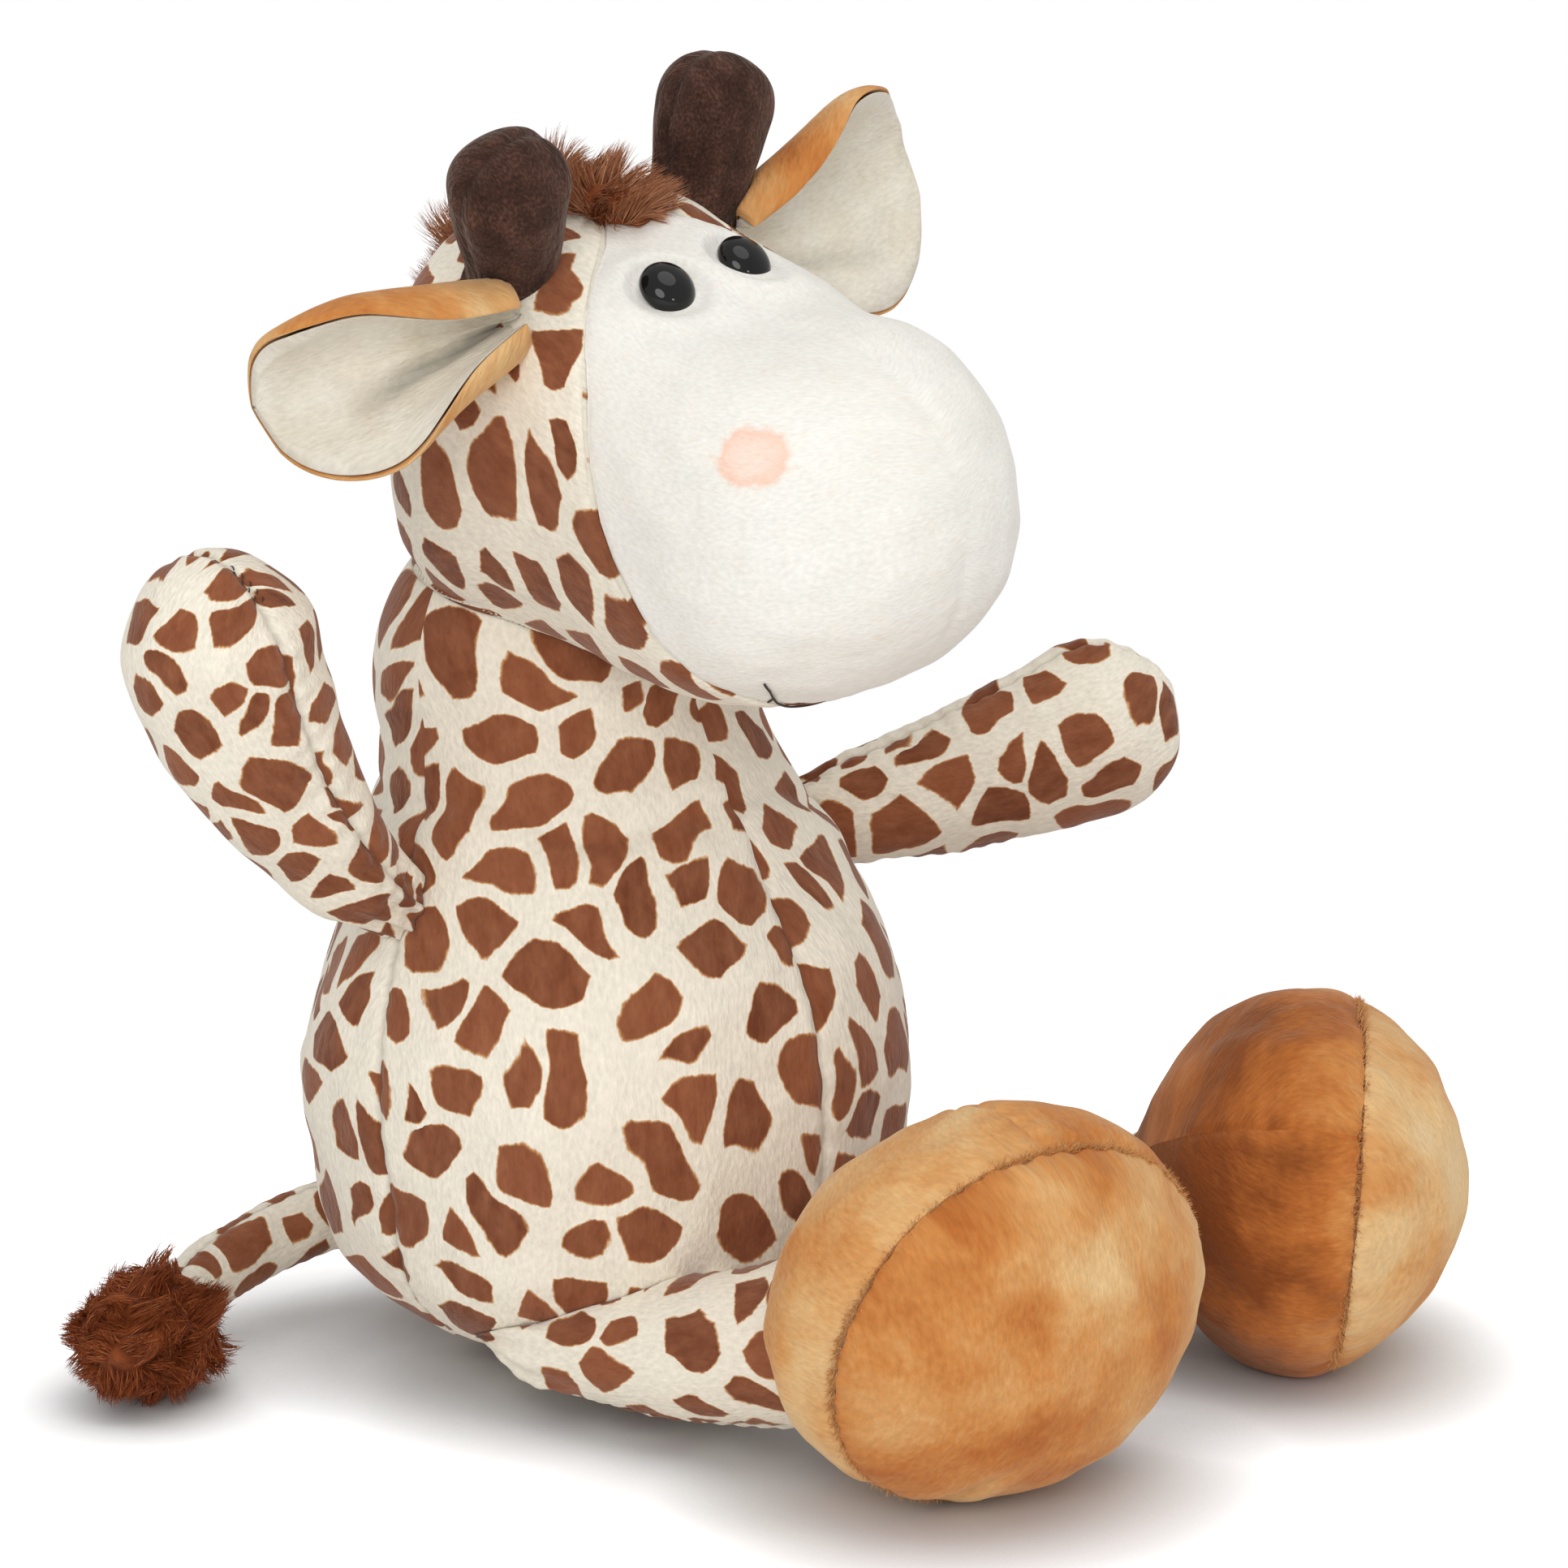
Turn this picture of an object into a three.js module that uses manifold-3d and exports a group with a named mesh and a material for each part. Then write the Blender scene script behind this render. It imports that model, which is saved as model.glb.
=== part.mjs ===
// A seated plush giraffe, about 25 cm tall: stuffed velvet body, limbs, head and ears, soles on big feet,
// two horns, safety eyes with locking washers, and a fur mane and tail tuft.
// Millimetres, +Z up, origin on the floor under the seat. It faces -Y, so its own right side is at -X.
import * as THREE from "three";
import { mergeVertices } from "three/addons/utils/BufferGeometryUtils.js";
import Module from "manifold-3d";

const wasm = await Module();
wasm.setup();

// Clearances between pieces
const SEAM_GAP = 0.3; // between two sewn pieces that don't move
const BALL_GAP = 0.45; // round a seam that bends like a ball joint
const LIMB_GAP = 1; // between a limb that bends and what it is sewn to, past its root
const FLOOR_CUT = 0.5; // how deep a stuffed form is pressed flat on the floor
const OVERRUN = 200; // how far a cutting block reaches past what it cuts

// Driving sizes
const BODY = {
  width: 116, // across the belly
  depth: 114,
  neckHeight: 128, // centre of the ball that the head bends on
  neckBall: 35.5, // its radius
  lean: 11, // how far the neck stands behind the seat
  topRiseShare: 0.6, // of the ball's radius, that the pear reaches over its centre
  topLeanShare: 0.2, // of the lean, that its top leans on past the neck
  baseCapShare: 0.18,
  topCapShare: 0.2,
};
// Tables of shares along a form: how far along it, then its width and, where it differs, its thickness there
const BODY_SHARES = [[0, 0.78], [0.07, 0.84], [0.15, 0.91], [0.25, 0.965], [0.385, 1], [0.49, 0.95],
  [0.58, 0.85], [0.68, 0.725], [0.765, 0.64], [0.85, 0.6], [1, 0.56]];

const HEAD = {
  length: 130, // back of the skull to the tip of the muzzle
  width: 71,
  height: 82,
  rise: 52, // middle of the skull over the neck ball
  back: 22, // back of the skull behind the neck ball
  nape: 10, // how much lower the skull's back is than its middle
  drop: 13, // how much lower the muzzle sits than the skull's middle
  roll: 10, // degrees, towards its own right shoulder
  backCapShare: 0.26,
  muzzleCapShare: 0.27,
  seamShare: 0.615, // where the white face is sewn on
  seamTilt: 16, // degrees that the seam's top leans back
  crownShare: 0.32, // where along it the skull is highest
  bridgeShare: 0.7, // where the muzzle's top levels out
  power: 2.4, // squarer than an oval, whose power is 2
};
const HEAD_SHARES = [[0, 0.94, 0.96], [0.2, 0.98, 0.97], [0.34, 1, 1], [0.5, 1, 0.97], [0.62, 1, 0.925],
  [0.74, 1, 0.86], [0.86, 1, 0.865], [1, 0.97, 0.87]];

const EYE = {
  width: 10.5,
  height: 9.8,
  dome: 3, // how far it stands out
  pressShare: 0.25, // of the dome, that its rim presses into the pile
  shank: 4, // diameter of its post
  shankLength: 13,
  washer: 12,
  washerThick: 1.6,
  washerDepth: 7, // from the fabric to the washer
  alongShare: 0.595, // along the head
  angle: 78, // degrees up from the head's side
};

const HORN = {
  length: 38, // with the part that the crown's curve takes away
  width: 21.5,
  depth: 20.5,
  alongShare: 0.385,
  angle: 55,
  sink: 10,
  footCapShare: 0.1,
  topCapShare: 0.28,
};
const HORN_SHARES = [[0, 0.7, 0.7], [0.35, 0.76, 0.76], [0.6, 0.95, 0.95], [0.78, 1, 1], [1, 0.96, 0.96]];

const EAR = {
  length: 49,
  width: 46, // laid flat
  back: 2.6, // thickness of the tan back
  lining: 2.4, // thickness of the cream lining
  root: 5.2, // radius of its gathered root
  alongShare: 0.4,
  angle: 38,
  widestShare: 0.56, // where along it the leaf is widest
  rootShare: 0.5, // of that width, left at the root
  tipShare: 0.14,
  sink: 3.1, // how deep the root sits
  swing: 15, // degrees that it can be bent to the front and back
  hornGap: 1.8, // how far it stays from the horn
};
// How far along each ear, then how much of a half turn its upper and its lower edge are rolled over there
const EAR_ROLL_SHARES = {
  right: [[0, 0.92, 0.92], [0.3, 0.86, 0.78], [0.6, 0.69, 0.47], [0.85, 0.56, 0.32], [1, 0.3, 0.2]],
  left: [[0, 0.92, 0.67], [0.3, 0.78, 0.28], [0.6, 0.56, 0.14], [0.85, 0.46, 0.1], [1, 0.3, 0.08]],
};

const MANE = {
  width: 17,
  height: 14,
  fromShare: 0.05, // along the head, from its back
  toShare: 0.47,
  backCapShare: 0.12,
  frontCapShare: 0.16,
};
const MANE_SHARES = [[0, 0.7, 0.6], [0.4, 0.9, 0.8], [0.8, 1, 1], [1, 1, 1]];

const ARM = {
  length: 86,
  width: 36,
  thick: 29,
  root: 6.6,
  heightShare: 0.62, // of the body
  lowest: 0, // degrees above level that it can be bent down and up to
  highest: 63,
  rootCapShare: 0.06,
  tipCapShare: 0.2,
};
const ARM_SHARES = [[0, 0.33, 0.39], [0.09, 0.35, 0.42], [0.25, 0.56, 0.64], [0.45, 0.74, 0.8],
  [0.65, 0.9, 0.93], [0.82, 1, 1], [1, 0.97, 0.97]];

const LEG = {
  length: 93, // hip to the middle of the foot
  width: 37,
  thick: 33,
  root: 7,
  hipHeight: 14,
  hipAngle: 24, // degrees in front of the body's side
  rootCapShare: 0.06,
  ankleCapShare: 0.1,
};
const LEG_SHARES = [[0, 0.36, 0.38], [0.1, 0.42, 0.44], [0.3, 0.66, 0.66], [0.55, 0.86, 0.88], [0.8, 1, 1],
  [1, 1, 1]];

const FOOT = { length: 62, width: 85, height: 70.5, soleForward: 8.5, capShare: 0.5 };
const FOOT_SHARES = [[0, 0.94, 0.94], [0.5, 1, 1], [1, 0.94, 0.94]];

const TAIL = {
  length: 72,
  width: 14,
  root: 6.4,
  capShare: 0.08,
  height: 20, // its root over the floor
  drop: 9, // how far it sinks to the floor
  dropShares: [0.1, 0.35, 0.65, 0.88, 1],
  startTurn: 145, // degrees round from the body's left
  endTurn: 214,
};
const TAIL_SHARES = [[0, 0.86, 0.86], [0.3, 1, 1], [0.7, 0.94, 0.94], [1, 0.86, 0.86]];
const TUFT = {
  length: 34,
  grip: 5, // how far it wraps the tail's end
  width: 28,
  height: 25,
  backCapShare: 0.3,
  endCapShare: 0.4,
};
const TUFT_SHARES = [[0, 0.7, 0.72], [0.3, 0.98, 0.98], [0.65, 1, 1], [1, 0.86, 0.84]];

// How each ear, horn and limb lies in the photographed pose, in degrees
const POSE = {
  right: {
    earBackward: 22, earLift: -7, earTwist: -12, hornAhead: 26, hornOut: 16,
    raise: 55, bend: 42, forward: 3, legTurn: 19, soleTurn: -8, soleTilt: 13,
  },
  left: {
    earBackward: -3, earLift: 7, earTwist: -14, hornAhead: 4, hornOut: 24,
    raise: 15, bend: 18, forward: 32, legTurn: 29, soleTurn: 40, soleTilt: 4,
  },
};

const COLOURS = {
  print: [0xf0e9d8, 0.95],
  white: [0xf1eee7, 0.95],
  tan: [0xc99254, 0.9],
  horn: [0x49322b, 0.95],
  fur: [0x8a4421, 0.95],
  plastic: [0x0b0a0a, 0.08],
  washer: [0xd8d8d4, 0.5],
};

const SAMPLE_SHARE = 0.01; // how far apart a skin is sampled to find which way it faces
const MIDDLE_SHARE = 0.5;

const rad = THREE.MathUtils.degToRad;
const ROOT_SIDES = 10;
const EAR_ROWS = 5;
const EAR_COLUMNS = 6;
const ARM_STEPS = 5;
const MANE_STEPS = 6;
const evenShares = (count) => [...Array(count).keys()].map((i) => i / (count - 1));
const UP = new THREE.Vector3(0, 0, 1);
const SIDEWAYS = new THREE.Vector3(1, 0, 0);
const FORWARD = new THREE.Vector3(0, -1, 0);

// A smooth curve through rows of [place, value, value]
function between(rows, place) {
  const last = rows.length - 1;
  const i = Math.min(Math.max(rows.findIndex((row) => row[0] >= place), 1), last);
  const [a, b] = [rows[i - 1], rows[i]];
  const span = b[0] - a[0];
  const share = (place - a[0]) / span;
  const slope = (from, to, column) => (to[column] - from[column]) / (to[0] - from[0]);
  return a.slice(1).map((low, k) => {
    const column = k + 1;
    const start = slope(rows[Math.max(i - 2, 0)], b, column) * span;
    const end = slope(a, rows[Math.min(i + 1, last)], column) * span;
    return THREE.MathUtils.lerp(low, b[column], share) + share * (1 - share) *
      ((1 - share) * (start - (b[column] - low)) - share * (end - (b[column] - low)));
  });
}

// A stuffed form: sections of a width and a thickness along a path, round at both ends
class Stuffed {
  constructor({ rings, capRings, power = 2, ...form }) {
    Object.assign(this, form, { power });
    const { startCapShare, endCapShare } = form;
    const caps = [...Array(capRings).keys()].map((i) => 1 - Math.cos((Math.PI / 2) * (i + 1) / capRings));
    const middle = [...Array(rings).keys()].map((i) => (i + 1) / (rings + 1));
    this.places = [
      ...caps.map((share) => share * startCapShare),
      ...middle.map((share) => THREE.MathUtils.lerp(startCapShare, 1 - endCapShare, share)),
      ...caps.reverse().map((share) => 1 - share * endCapShare),
    ];
  }

  // How far a section is drawn in by the round ends
  rounding(place) {
    const into = Math.max(1 - place / this.startCapShare, 1 - (1 - place) / this.endCapShare, 0);
    return Math.sqrt(Math.max(1 - into * into, 0));
  }

  // The point of the skin at a place along the path and an angle round it, from the wide side
  skin(place, angle) {
    const along = this.square ?? this.path.getTangentAt(place); // square holds every section in one direction
    const side = this.wide.clone().addScaledVector(along, -this.wide.dot(along)).normalize();
    const over = new THREE.Vector3().crossVectors(along, side);
    const [wideShare, thickShare = wideShare] = between(this.shares, place);
    const round = this.rounding(place) / 2;
    const lobe = (value) => Math.sign(value) * Math.abs(value) ** (2 / this.power);
    return this.path.getPointAt(place)
      .addScaledVector(side, this.width * wideShare * round * lobe(Math.cos(angle)))
      .addScaledVector(over, this.thick * thickShare * round * lobe(Math.sin(angle)));
  }

  // The direction that the skin faces there
  facing(place, angle) {
    const inner = THREE.MathUtils.clamp(place, 2 * SAMPLE_SHARE, 1 - 2 * SAMPLE_SHARE);
    const round = this.skin(inner, angle + SAMPLE_SHARE).sub(this.skin(inner, angle - SAMPLE_SHARE));
    const along = this.skin(inner + SAMPLE_SHARE, angle).sub(this.skin(inner - SAMPLE_SHARE, angle));
    return round.cross(along).normalize();
  }

  // The same form, swollen all round
  grown(gap) {
    const bigger = Object.create(this);
    bigger.skin = (place, angle) => this.skin(place, angle).addScaledVector(this.facing(place, angle), gap);
    return bigger.solid();
  }

  solid() {
    const points = [];
    const faces = [];
    for (const place of this.places) {
      for (let j = 0; j < this.sides; j++) points.push(...this.skin(place, (2 * Math.PI * j) / this.sides));
    }
    const rings = this.places.length;
    for (let i = 0; i < rings - 1; i++) {
      for (let j = 0; j < this.sides; j++) {
        const [a, b] = [i * this.sides + j, i * this.sides + (j + 1) % this.sides];
        faces.push(a, b, b + this.sides, a, b + this.sides, a + this.sides);
      }
    }
    const start = rings * this.sides;
    const end = start + 1;
    points.push(...this.path.getPointAt(0), ...this.path.getPointAt(1));
    for (let j = 0; j < this.sides; j++) {
      const next = (j + 1) % this.sides;
      const last = (rings - 1) * this.sides;
      faces.push(start, next, j, end, last + j, last + next);
    }
    return new wasm.Manifold(new wasm.Mesh({
      numProp: 3, vertProperties: new Float32Array(points), triVerts: new Uint32Array(faces),
    }));
  }
}

// A three.js geometry as a solid
function solidOf(geometry) {
  const bare = geometry.index ? geometry : mergeVertices(geometry);
  bare.deleteAttribute("normal");
  bare.deleteAttribute("uv");
  const merged = mergeVertices(bare, 1e-4);
  return new wasm.Manifold(new wasm.Mesh({
    numProp: 3,
    vertProperties: new Float32Array(merged.attributes.position.array),
    triVerts: new Uint32Array(merged.index.array),
  }));
}

// A solid as a three.js geometry
function geometryOf(solid) {
  const mesh = solid.getMesh();
  const geometry = new THREE.BufferGeometry();
  geometry.setAttribute("position", new THREE.BufferAttribute(mesh.vertProperties, 3));
  geometry.setIndex(new THREE.BufferAttribute(mesh.triVerts, 1));
  geometry.computeVertexNormals();
  return geometry;
}

const ball = (radius, centre, sides) =>
  solidOf(new THREE.SphereGeometry(radius, sides, sides / 2).rotateX(Math.PI / 2).translate(...centre));

// A ball whose flat facets too stay outside the radius
const ballRound = (radius, centre, sides) => ball(radius / Math.cos(Math.PI / sides) ** 2, centre, sides);

const placed = (solid, matrix) => solid.transform(matrix.elements);

// Everything on one side of a plane
function halfSpace(towards, point) {
  const block = new THREE.BoxGeometry(2 * OVERRUN, 2 * OVERRUN, 2 * OVERRUN).translate(0, 0, OVERRUN);
  const turn = new THREE.Quaternion().setFromUnitVectors(UP, towards);
  return solidOf(block.applyQuaternion(turn).translate(...point));
}
const UNDER_FLOOR = halfSpace(UP.clone().negate(), new THREE.Vector3());

const largest = (solid) =>
  solid.decompose().reduce((best, part) => (part.volume() > best.volume() ? part : best));

// What lies within a form's skin at one place, and just past it
function behindSkin(form, place, angle) {
  const facing = form.facing(place, angle);
  return halfSpace(facing.clone().negate(), form.skin(place, angle).addScaledVector(facing, LIMB_GAP));
}

// A limb cut clear of what it is sewn to, all but its root
const clearOf = (limb, carrier, root, rootRadius) =>
  largest(limb.subtract(carrier.subtract(ballRound(rootRadius, root, ROOT_SIDES))));

// A solid turned about an axis through a point
function turned(solid, point, axis, degrees) {
  const there = new THREE.Matrix4().makeTranslation(point);
  const turn = new THREE.Matrix4().makeRotationAxis(axis, rad(degrees));
  return placed(solid, there.clone().multiply(turn).multiply(there.clone().invert()));
}

// A frame on a form's skin: its Z along the skin's facing, its Y as near upright as that allows
function frameOn(form, place, angle) {
  const facing = form.facing(place, angle);
  const sideways = new THREE.Vector3().crossVectors(UP, facing).normalize();
  const upright = new THREE.Vector3().crossVectors(facing, sideways);
  return new THREE.Matrix4().makeBasis(sideways, upright, facing).setPosition(form.skin(place, angle));
}

const giraffe = new THREE.Group();
function add(name, finish, solid) {
  const [color, roughness] = COLOURS[finish];
  const material = new THREE.MeshStandardMaterial({ color, roughness, metalness: 0 });
  const mesh = new THREE.Mesh(geometryOf(solid), material);
  mesh.name = name;
  giraffe.add(mesh);
}

// The body: a pear of four gores that leans back, with a round top that the head bends on
const neck = new THREE.Vector3(0, BODY.lean, BODY.neckHeight);
const bodyTop = new THREE.Vector3(
  0, BODY.lean + BODY.lean * BODY.topLeanShare, BODY.neckHeight + BODY.neckBall * BODY.topRiseShare);
const bodyForm = new Stuffed({
  path: new THREE.CatmullRomCurve3([
    new THREE.Vector3(0, 0, -FLOOR_CUT), new THREE.Vector3(0, 0, BODY.neckHeight / 2), neck, bodyTop,
  ]),
  wide: SIDEWAYS,
  width: BODY.width,
  thick: BODY.depth,
  shares: BODY_SHARES,
  startCapShare: BODY.baseCapShare,
  endCapShare: BODY.topCapShare,
  rings: 9,
  capRings: 4,
  sides: 24,
});
let body = bodyForm.solid().add(ball(BODY.neckBall, neck, 20)).subtract(UNDER_FLOOR);

// The head, in its own frame with the neck ball's centre at zero
const headAxis = [[0, HEAD.nape], [HEAD.crownShare, 0], [HEAD.bridgeShare, HEAD.drop], [1, HEAD.drop]];
const headForm = new Stuffed({
  path: new THREE.CatmullRomCurve3(headAxis.map(([lengthShare, below]) =>
    new THREE.Vector3(0, HEAD.back - lengthShare * HEAD.length, HEAD.rise - below))),
  square: FORWARD,
  wide: SIDEWAYS,
  width: HEAD.width,
  thick: HEAD.height,
  shares: HEAD_SHARES,
  startCapShare: HEAD.backCapShare,
  endCapShare: HEAD.muzzleCapShare,
  rings: 7,
  capRings: 4,
  sides: 24,
  power: HEAD.power,
});
const toHead = new THREE.Matrix4().makeRotationY(rad(-HEAD.roll)).setPosition(neck);
const headHollow = ballRound(BODY.neckBall + BALL_GAP, new THREE.Vector3(), 20);

// The face is sewn to the skull along one leaning seam
const seam = headForm.path.getPointAt(HEAD.seamShare);
const seamFacing = FORWARD.clone().applyAxisAngle(SIDEWAYS, rad(-HEAD.seamTilt));
const seamStep = seamFacing.clone().multiplyScalar(SEAM_GAP / 2);
const wholeHead = headForm.solid().subtract(headHollow);
let skull = wholeHead.subtract(halfSpace(seamFacing, seam.clone().sub(seamStep)));
let face = wholeHead.subtract(halfSpace(seamFacing.clone().negate(), seam.clone().add(seamStep)));

// Angles round the head start at its left side and pass over its top
const headAngle = (side, angle) => (side < 0 ? Math.PI - rad(angle) : rad(angle));

// A safety eye: an oval dome with a post through the fabric, held by a washer pressed on from inside
function addEye(name, side) {
  const disc = (diameter, low, high) =>
    solidOf(new THREE.CylinderGeometry(diameter / 2, diameter / 2, high - low, 16).rotateX(Math.PI / 2)
      .translate(0, 0, (low + high) / 2));
  const rim = -EYE.dome * EYE.pressShare;
  const postEnd = rim - EYE.shankLength;
  const dome = solidOf(new THREE.SphereGeometry(1, 16, 8).rotateX(Math.PI / 2)
    .scale(EYE.width / 2, EYE.height / 2, EYE.dome - rim).translate(0, 0, rim));
  const behindRim = halfSpace(UP.clone().negate(), new THREE.Vector3(0, 0, rim));
  const eye = dome.subtract(behindRim).add(disc(EYE.shank, postEnd, 0));

  const washerTop = -EYE.washerDepth;
  const washerBack = washerTop - EYE.washerThick;
  const hole = disc(EYE.shank + 2 * SEAM_GAP, postEnd - SEAM_GAP, 0);
  const washer = disc(EYE.washer, washerBack, washerTop).subtract(hole);
  const socket = hole
    .add(disc(EYE.washer + 2 * SEAM_GAP, washerBack - SEAM_GAP, washerTop + SEAM_GAP))
    .add(dome.scale(1 + (2 * SEAM_GAP) / EYE.height));

  const eyePlace = frameOn(headForm, EYE.alongShare, headAngle(side, EYE.angle));
  face = face.subtract(placed(socket, eyePlace));
  skull = skull.subtract(placed(socket, eyePlace));
  const eyeInWorld = toHead.clone().multiply(eyePlace);
  add(name + "_eye", "plastic", placed(eye, eyeInWorld));
  add(name + "_eye_washer", "washer", placed(washer, eyeInWorld));
}

// A horn: a short stuffed tube with a fuller, round top
function addHorn(name, side) {
  const { hornAhead, hornOut } = POSE[name];
  const up = UP.clone().applyEuler(new THREE.Euler(rad(hornAhead), rad(side * hornOut), 0));
  const foot = headForm.skin(HORN.alongShare, headAngle(side, HORN.angle)).addScaledVector(up, -HORN.sink);
  const horn = new Stuffed({
    path: new THREE.LineCurve3(foot, foot.clone().addScaledVector(up, HORN.length)),
    wide: SIDEWAYS,
    width: HORN.width,
    thick: HORN.depth,
    shares: HORN_SHARES,
    startCapShare: HORN.footCapShare,
    endCapShare: HORN.topCapShare,
    rings: 3,
    capRings: 3,
    sides: 10,
  });
  add(name + "_horn", "horn", placed(largest(horn.solid().subtract(headForm.grown(SEAM_GAP))), toHead));
  return horn;
}

// A leaf-shaped slab between two depths before its middle sheet, its edges rolled over to the front
function leaf(low, high, rollShares, side) {
  const points = [];
  const faces = [];
  const index = (layer, i, j) => (layer * (EAR_ROWS + 1) + i) * (EAR_COLUMNS + 1) + j;
  for (const depth of [low, high]) {
    for (const share of evenShares(EAR_ROWS + 1)) {
      const toRoot = 1 - share / EAR.widestShare;
      const toTip = (share - EAR.widestShare) / (1 - EAR.widestShare);
      const widthShare = toRoot > 0
        ? 1 - (1 - EAR.rootShare) * toRoot ** 2
        : Math.sqrt(1 - (1 - EAR.tipShare ** 2) * toTip ** 2);
      const [upperShare, lowerShare] = between(rollShares, share);
      for (const across of evenShares(EAR_COLUMNS + 1)) {
        const acrossShare = 2 * across - 1;
        const roll = Math.PI * (acrossShare * side < 0 ? upperShare : lowerShare);
        const radius = (EAR.width / 2) * widthShare / roll;
        const angle = acrossShare * roll;
        const reach = radius - depth;
        points.push(radius - reach * Math.cos(angle), reach * Math.sin(angle), EAR.length * share - EAR.sink);
      }
    }
  }
  const quad = (a, b, c, d) => faces.push(a, c, b, a, d, c);
  for (let i = 0; i < EAR_ROWS; i++) {
    for (let j = 0; j < EAR_COLUMNS; j++) {
      quad(index(0, i, j), index(0, i, j + 1), index(0, i + 1, j + 1), index(0, i + 1, j));
      quad(index(1, i, j), index(1, i + 1, j), index(1, i + 1, j + 1), index(1, i, j + 1));
    }
    quad(index(0, i, 0), index(0, i + 1, 0), index(1, i + 1, 0), index(1, i, 0));
    const j = EAR_COLUMNS;
    quad(index(0, i, j), index(1, i, j), index(1, i + 1, j), index(0, i + 1, j));
  }
  for (let j = 0; j < EAR_COLUMNS; j++) {
    const i = EAR_ROWS;
    quad(index(0, 0, j), index(1, 0, j), index(1, 0, j + 1), index(0, 0, j + 1));
    quad(index(0, i, j), index(0, i, j + 1), index(1, i, j + 1), index(1, i, j));
  }
  return new wasm.Manifold(new wasm.Mesh({
    numProp: 3, vertProperties: new Float32Array(points), triVerts: new Uint32Array(faces),
  }));
}

// An ear: a leaf rolled together at its root, a tan back and a cream lining
function addEar(name, side, horn) {
  const { earBackward, earLift, earTwist } = POSE[name];
  const angle = headAngle(side, EAR.angle);
  const root = headForm.skin(EAR.alongShare, angle);
  const front = FORWARD.clone().applyAxisAngle(UP, rad(side * earBackward));
  const out = SIDEWAYS.clone().multiplyScalar(side).applyAxisAngle(UP, rad(side * earBackward))
    .applyAxisAngle(front, rad(side * earLift));
  front.applyAxisAngle(out, rad(side * earTwist));
  const place = new THREE.Matrix4().makeBasis(front, new THREE.Vector3().crossVectors(out, front), out)
    .setPosition(root);

  // The skull as the ear meets it, bent to the back, at rest and to the front
  const beside = behindSkin(headForm, EAR.alongShare, angle);
  const besideAll = [-EAR.swing, 0, EAR.swing]
    .map((bent) => turned(beside, root, UP, bent))
    .reduce((all, one) => all.add(one));
  const hornThere = horn.grown(EAR.hornGap);
  const layer = (low, high) => {
    const sheet = placed(leaf(low, high, EAR_ROLL_SHARES[name], side), place).subtract(hornThere);
    return placed(clearOf(sheet, besideAll, root, EAR.root), toHead);
  };
  skull = skull.subtract(ballRound(EAR.root + BALL_GAP, root, ROOT_SIDES));
  add(name + "_ear_back", "tan", layer(-EAR.back - SEAM_GAP / 2, -SEAM_GAP / 2));
  add(name + "_ear_lining", "white", layer(SEAM_GAP / 2, EAR.lining + SEAM_GAP / 2));
}

// An arm: one stuffed piece, gathered where the body's side seam takes it in
function addArm(name, side) {
  const { raise, bend, forward } = POSE[name];
  const angle = side < 0 ? Math.PI : 0;
  const shoulder = bodyForm.skin(ARM.heightShare, angle);
  const turns = evenShares(ARM_STEPS).map((share) => rad(raise + bend * (share - MIDDLE_SHARE)));
  const stepLength = (ARM.length + ARM.root) / turns.length;
  const route = [new THREE.Vector3(Math.cos(turns[0]), 0, Math.sin(turns[0])).multiplyScalar(-ARM.root)];
  for (const turn of turns) {
    const step = new THREE.Vector3(Math.cos(turn), 0, Math.sin(turn)).multiplyScalar(stepLength);
    route.push(route.at(-1).clone().add(step));
  }
  const mirrored = new THREE.Vector3(side, 1, 1);
  const arm = new Stuffed({
    path: new THREE.CatmullRomCurve3(route.map((point) =>
      point.multiply(mirrored).applyAxisAngle(UP, rad(-side * forward)).add(shoulder))),
    wide: UP.clone().applyAxisAngle(new THREE.Vector3(0, 1, 0), rad(-side * raise)),
    width: ARM.width,
    thick: ARM.thick,
    shares: ARM_SHARES,
    startCapShare: ARM.rootCapShare,
    endCapShare: ARM.tipCapShare,
    rings: 5,
    capRings: 3,
    sides: 14,
  });
  body = body.subtract(ballRound(ARM.root + BALL_GAP, shoulder, ROOT_SIDES));

  // The body's side as the arm meets it, at rest and bent down and up
  const beside = behindSkin(bodyForm, ARM.heightShare, angle);
  const besideAll = [raise, ARM.lowest, ARM.highest]
    .map((bent) => turned(beside, shoulder, new THREE.Vector3(0, 1, 0), side * (bent - raise)))
    .reduce((all, one) => all.add(one));
  add(name + "_arm", "print", clearOf(arm.solid(), besideAll, shoulder, ARM.root));
}

// A foot: a big egg, all round alike
const footForm = new Stuffed({
  path: new THREE.LineCurve3(
    new THREE.Vector3(0, FOOT.length / 2, 0), new THREE.Vector3(0, -FOOT.length / 2, 0)),
  wide: SIDEWAYS,
  width: FOOT.width,
  thick: FOOT.height,
  shares: FOOT_SHARES,
  startCapShare: FOOT.capShare,
  endCapShare: FOOT.capShare,
  rings: 0,
  capRings: 5,
  sides: 20,
});

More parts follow.
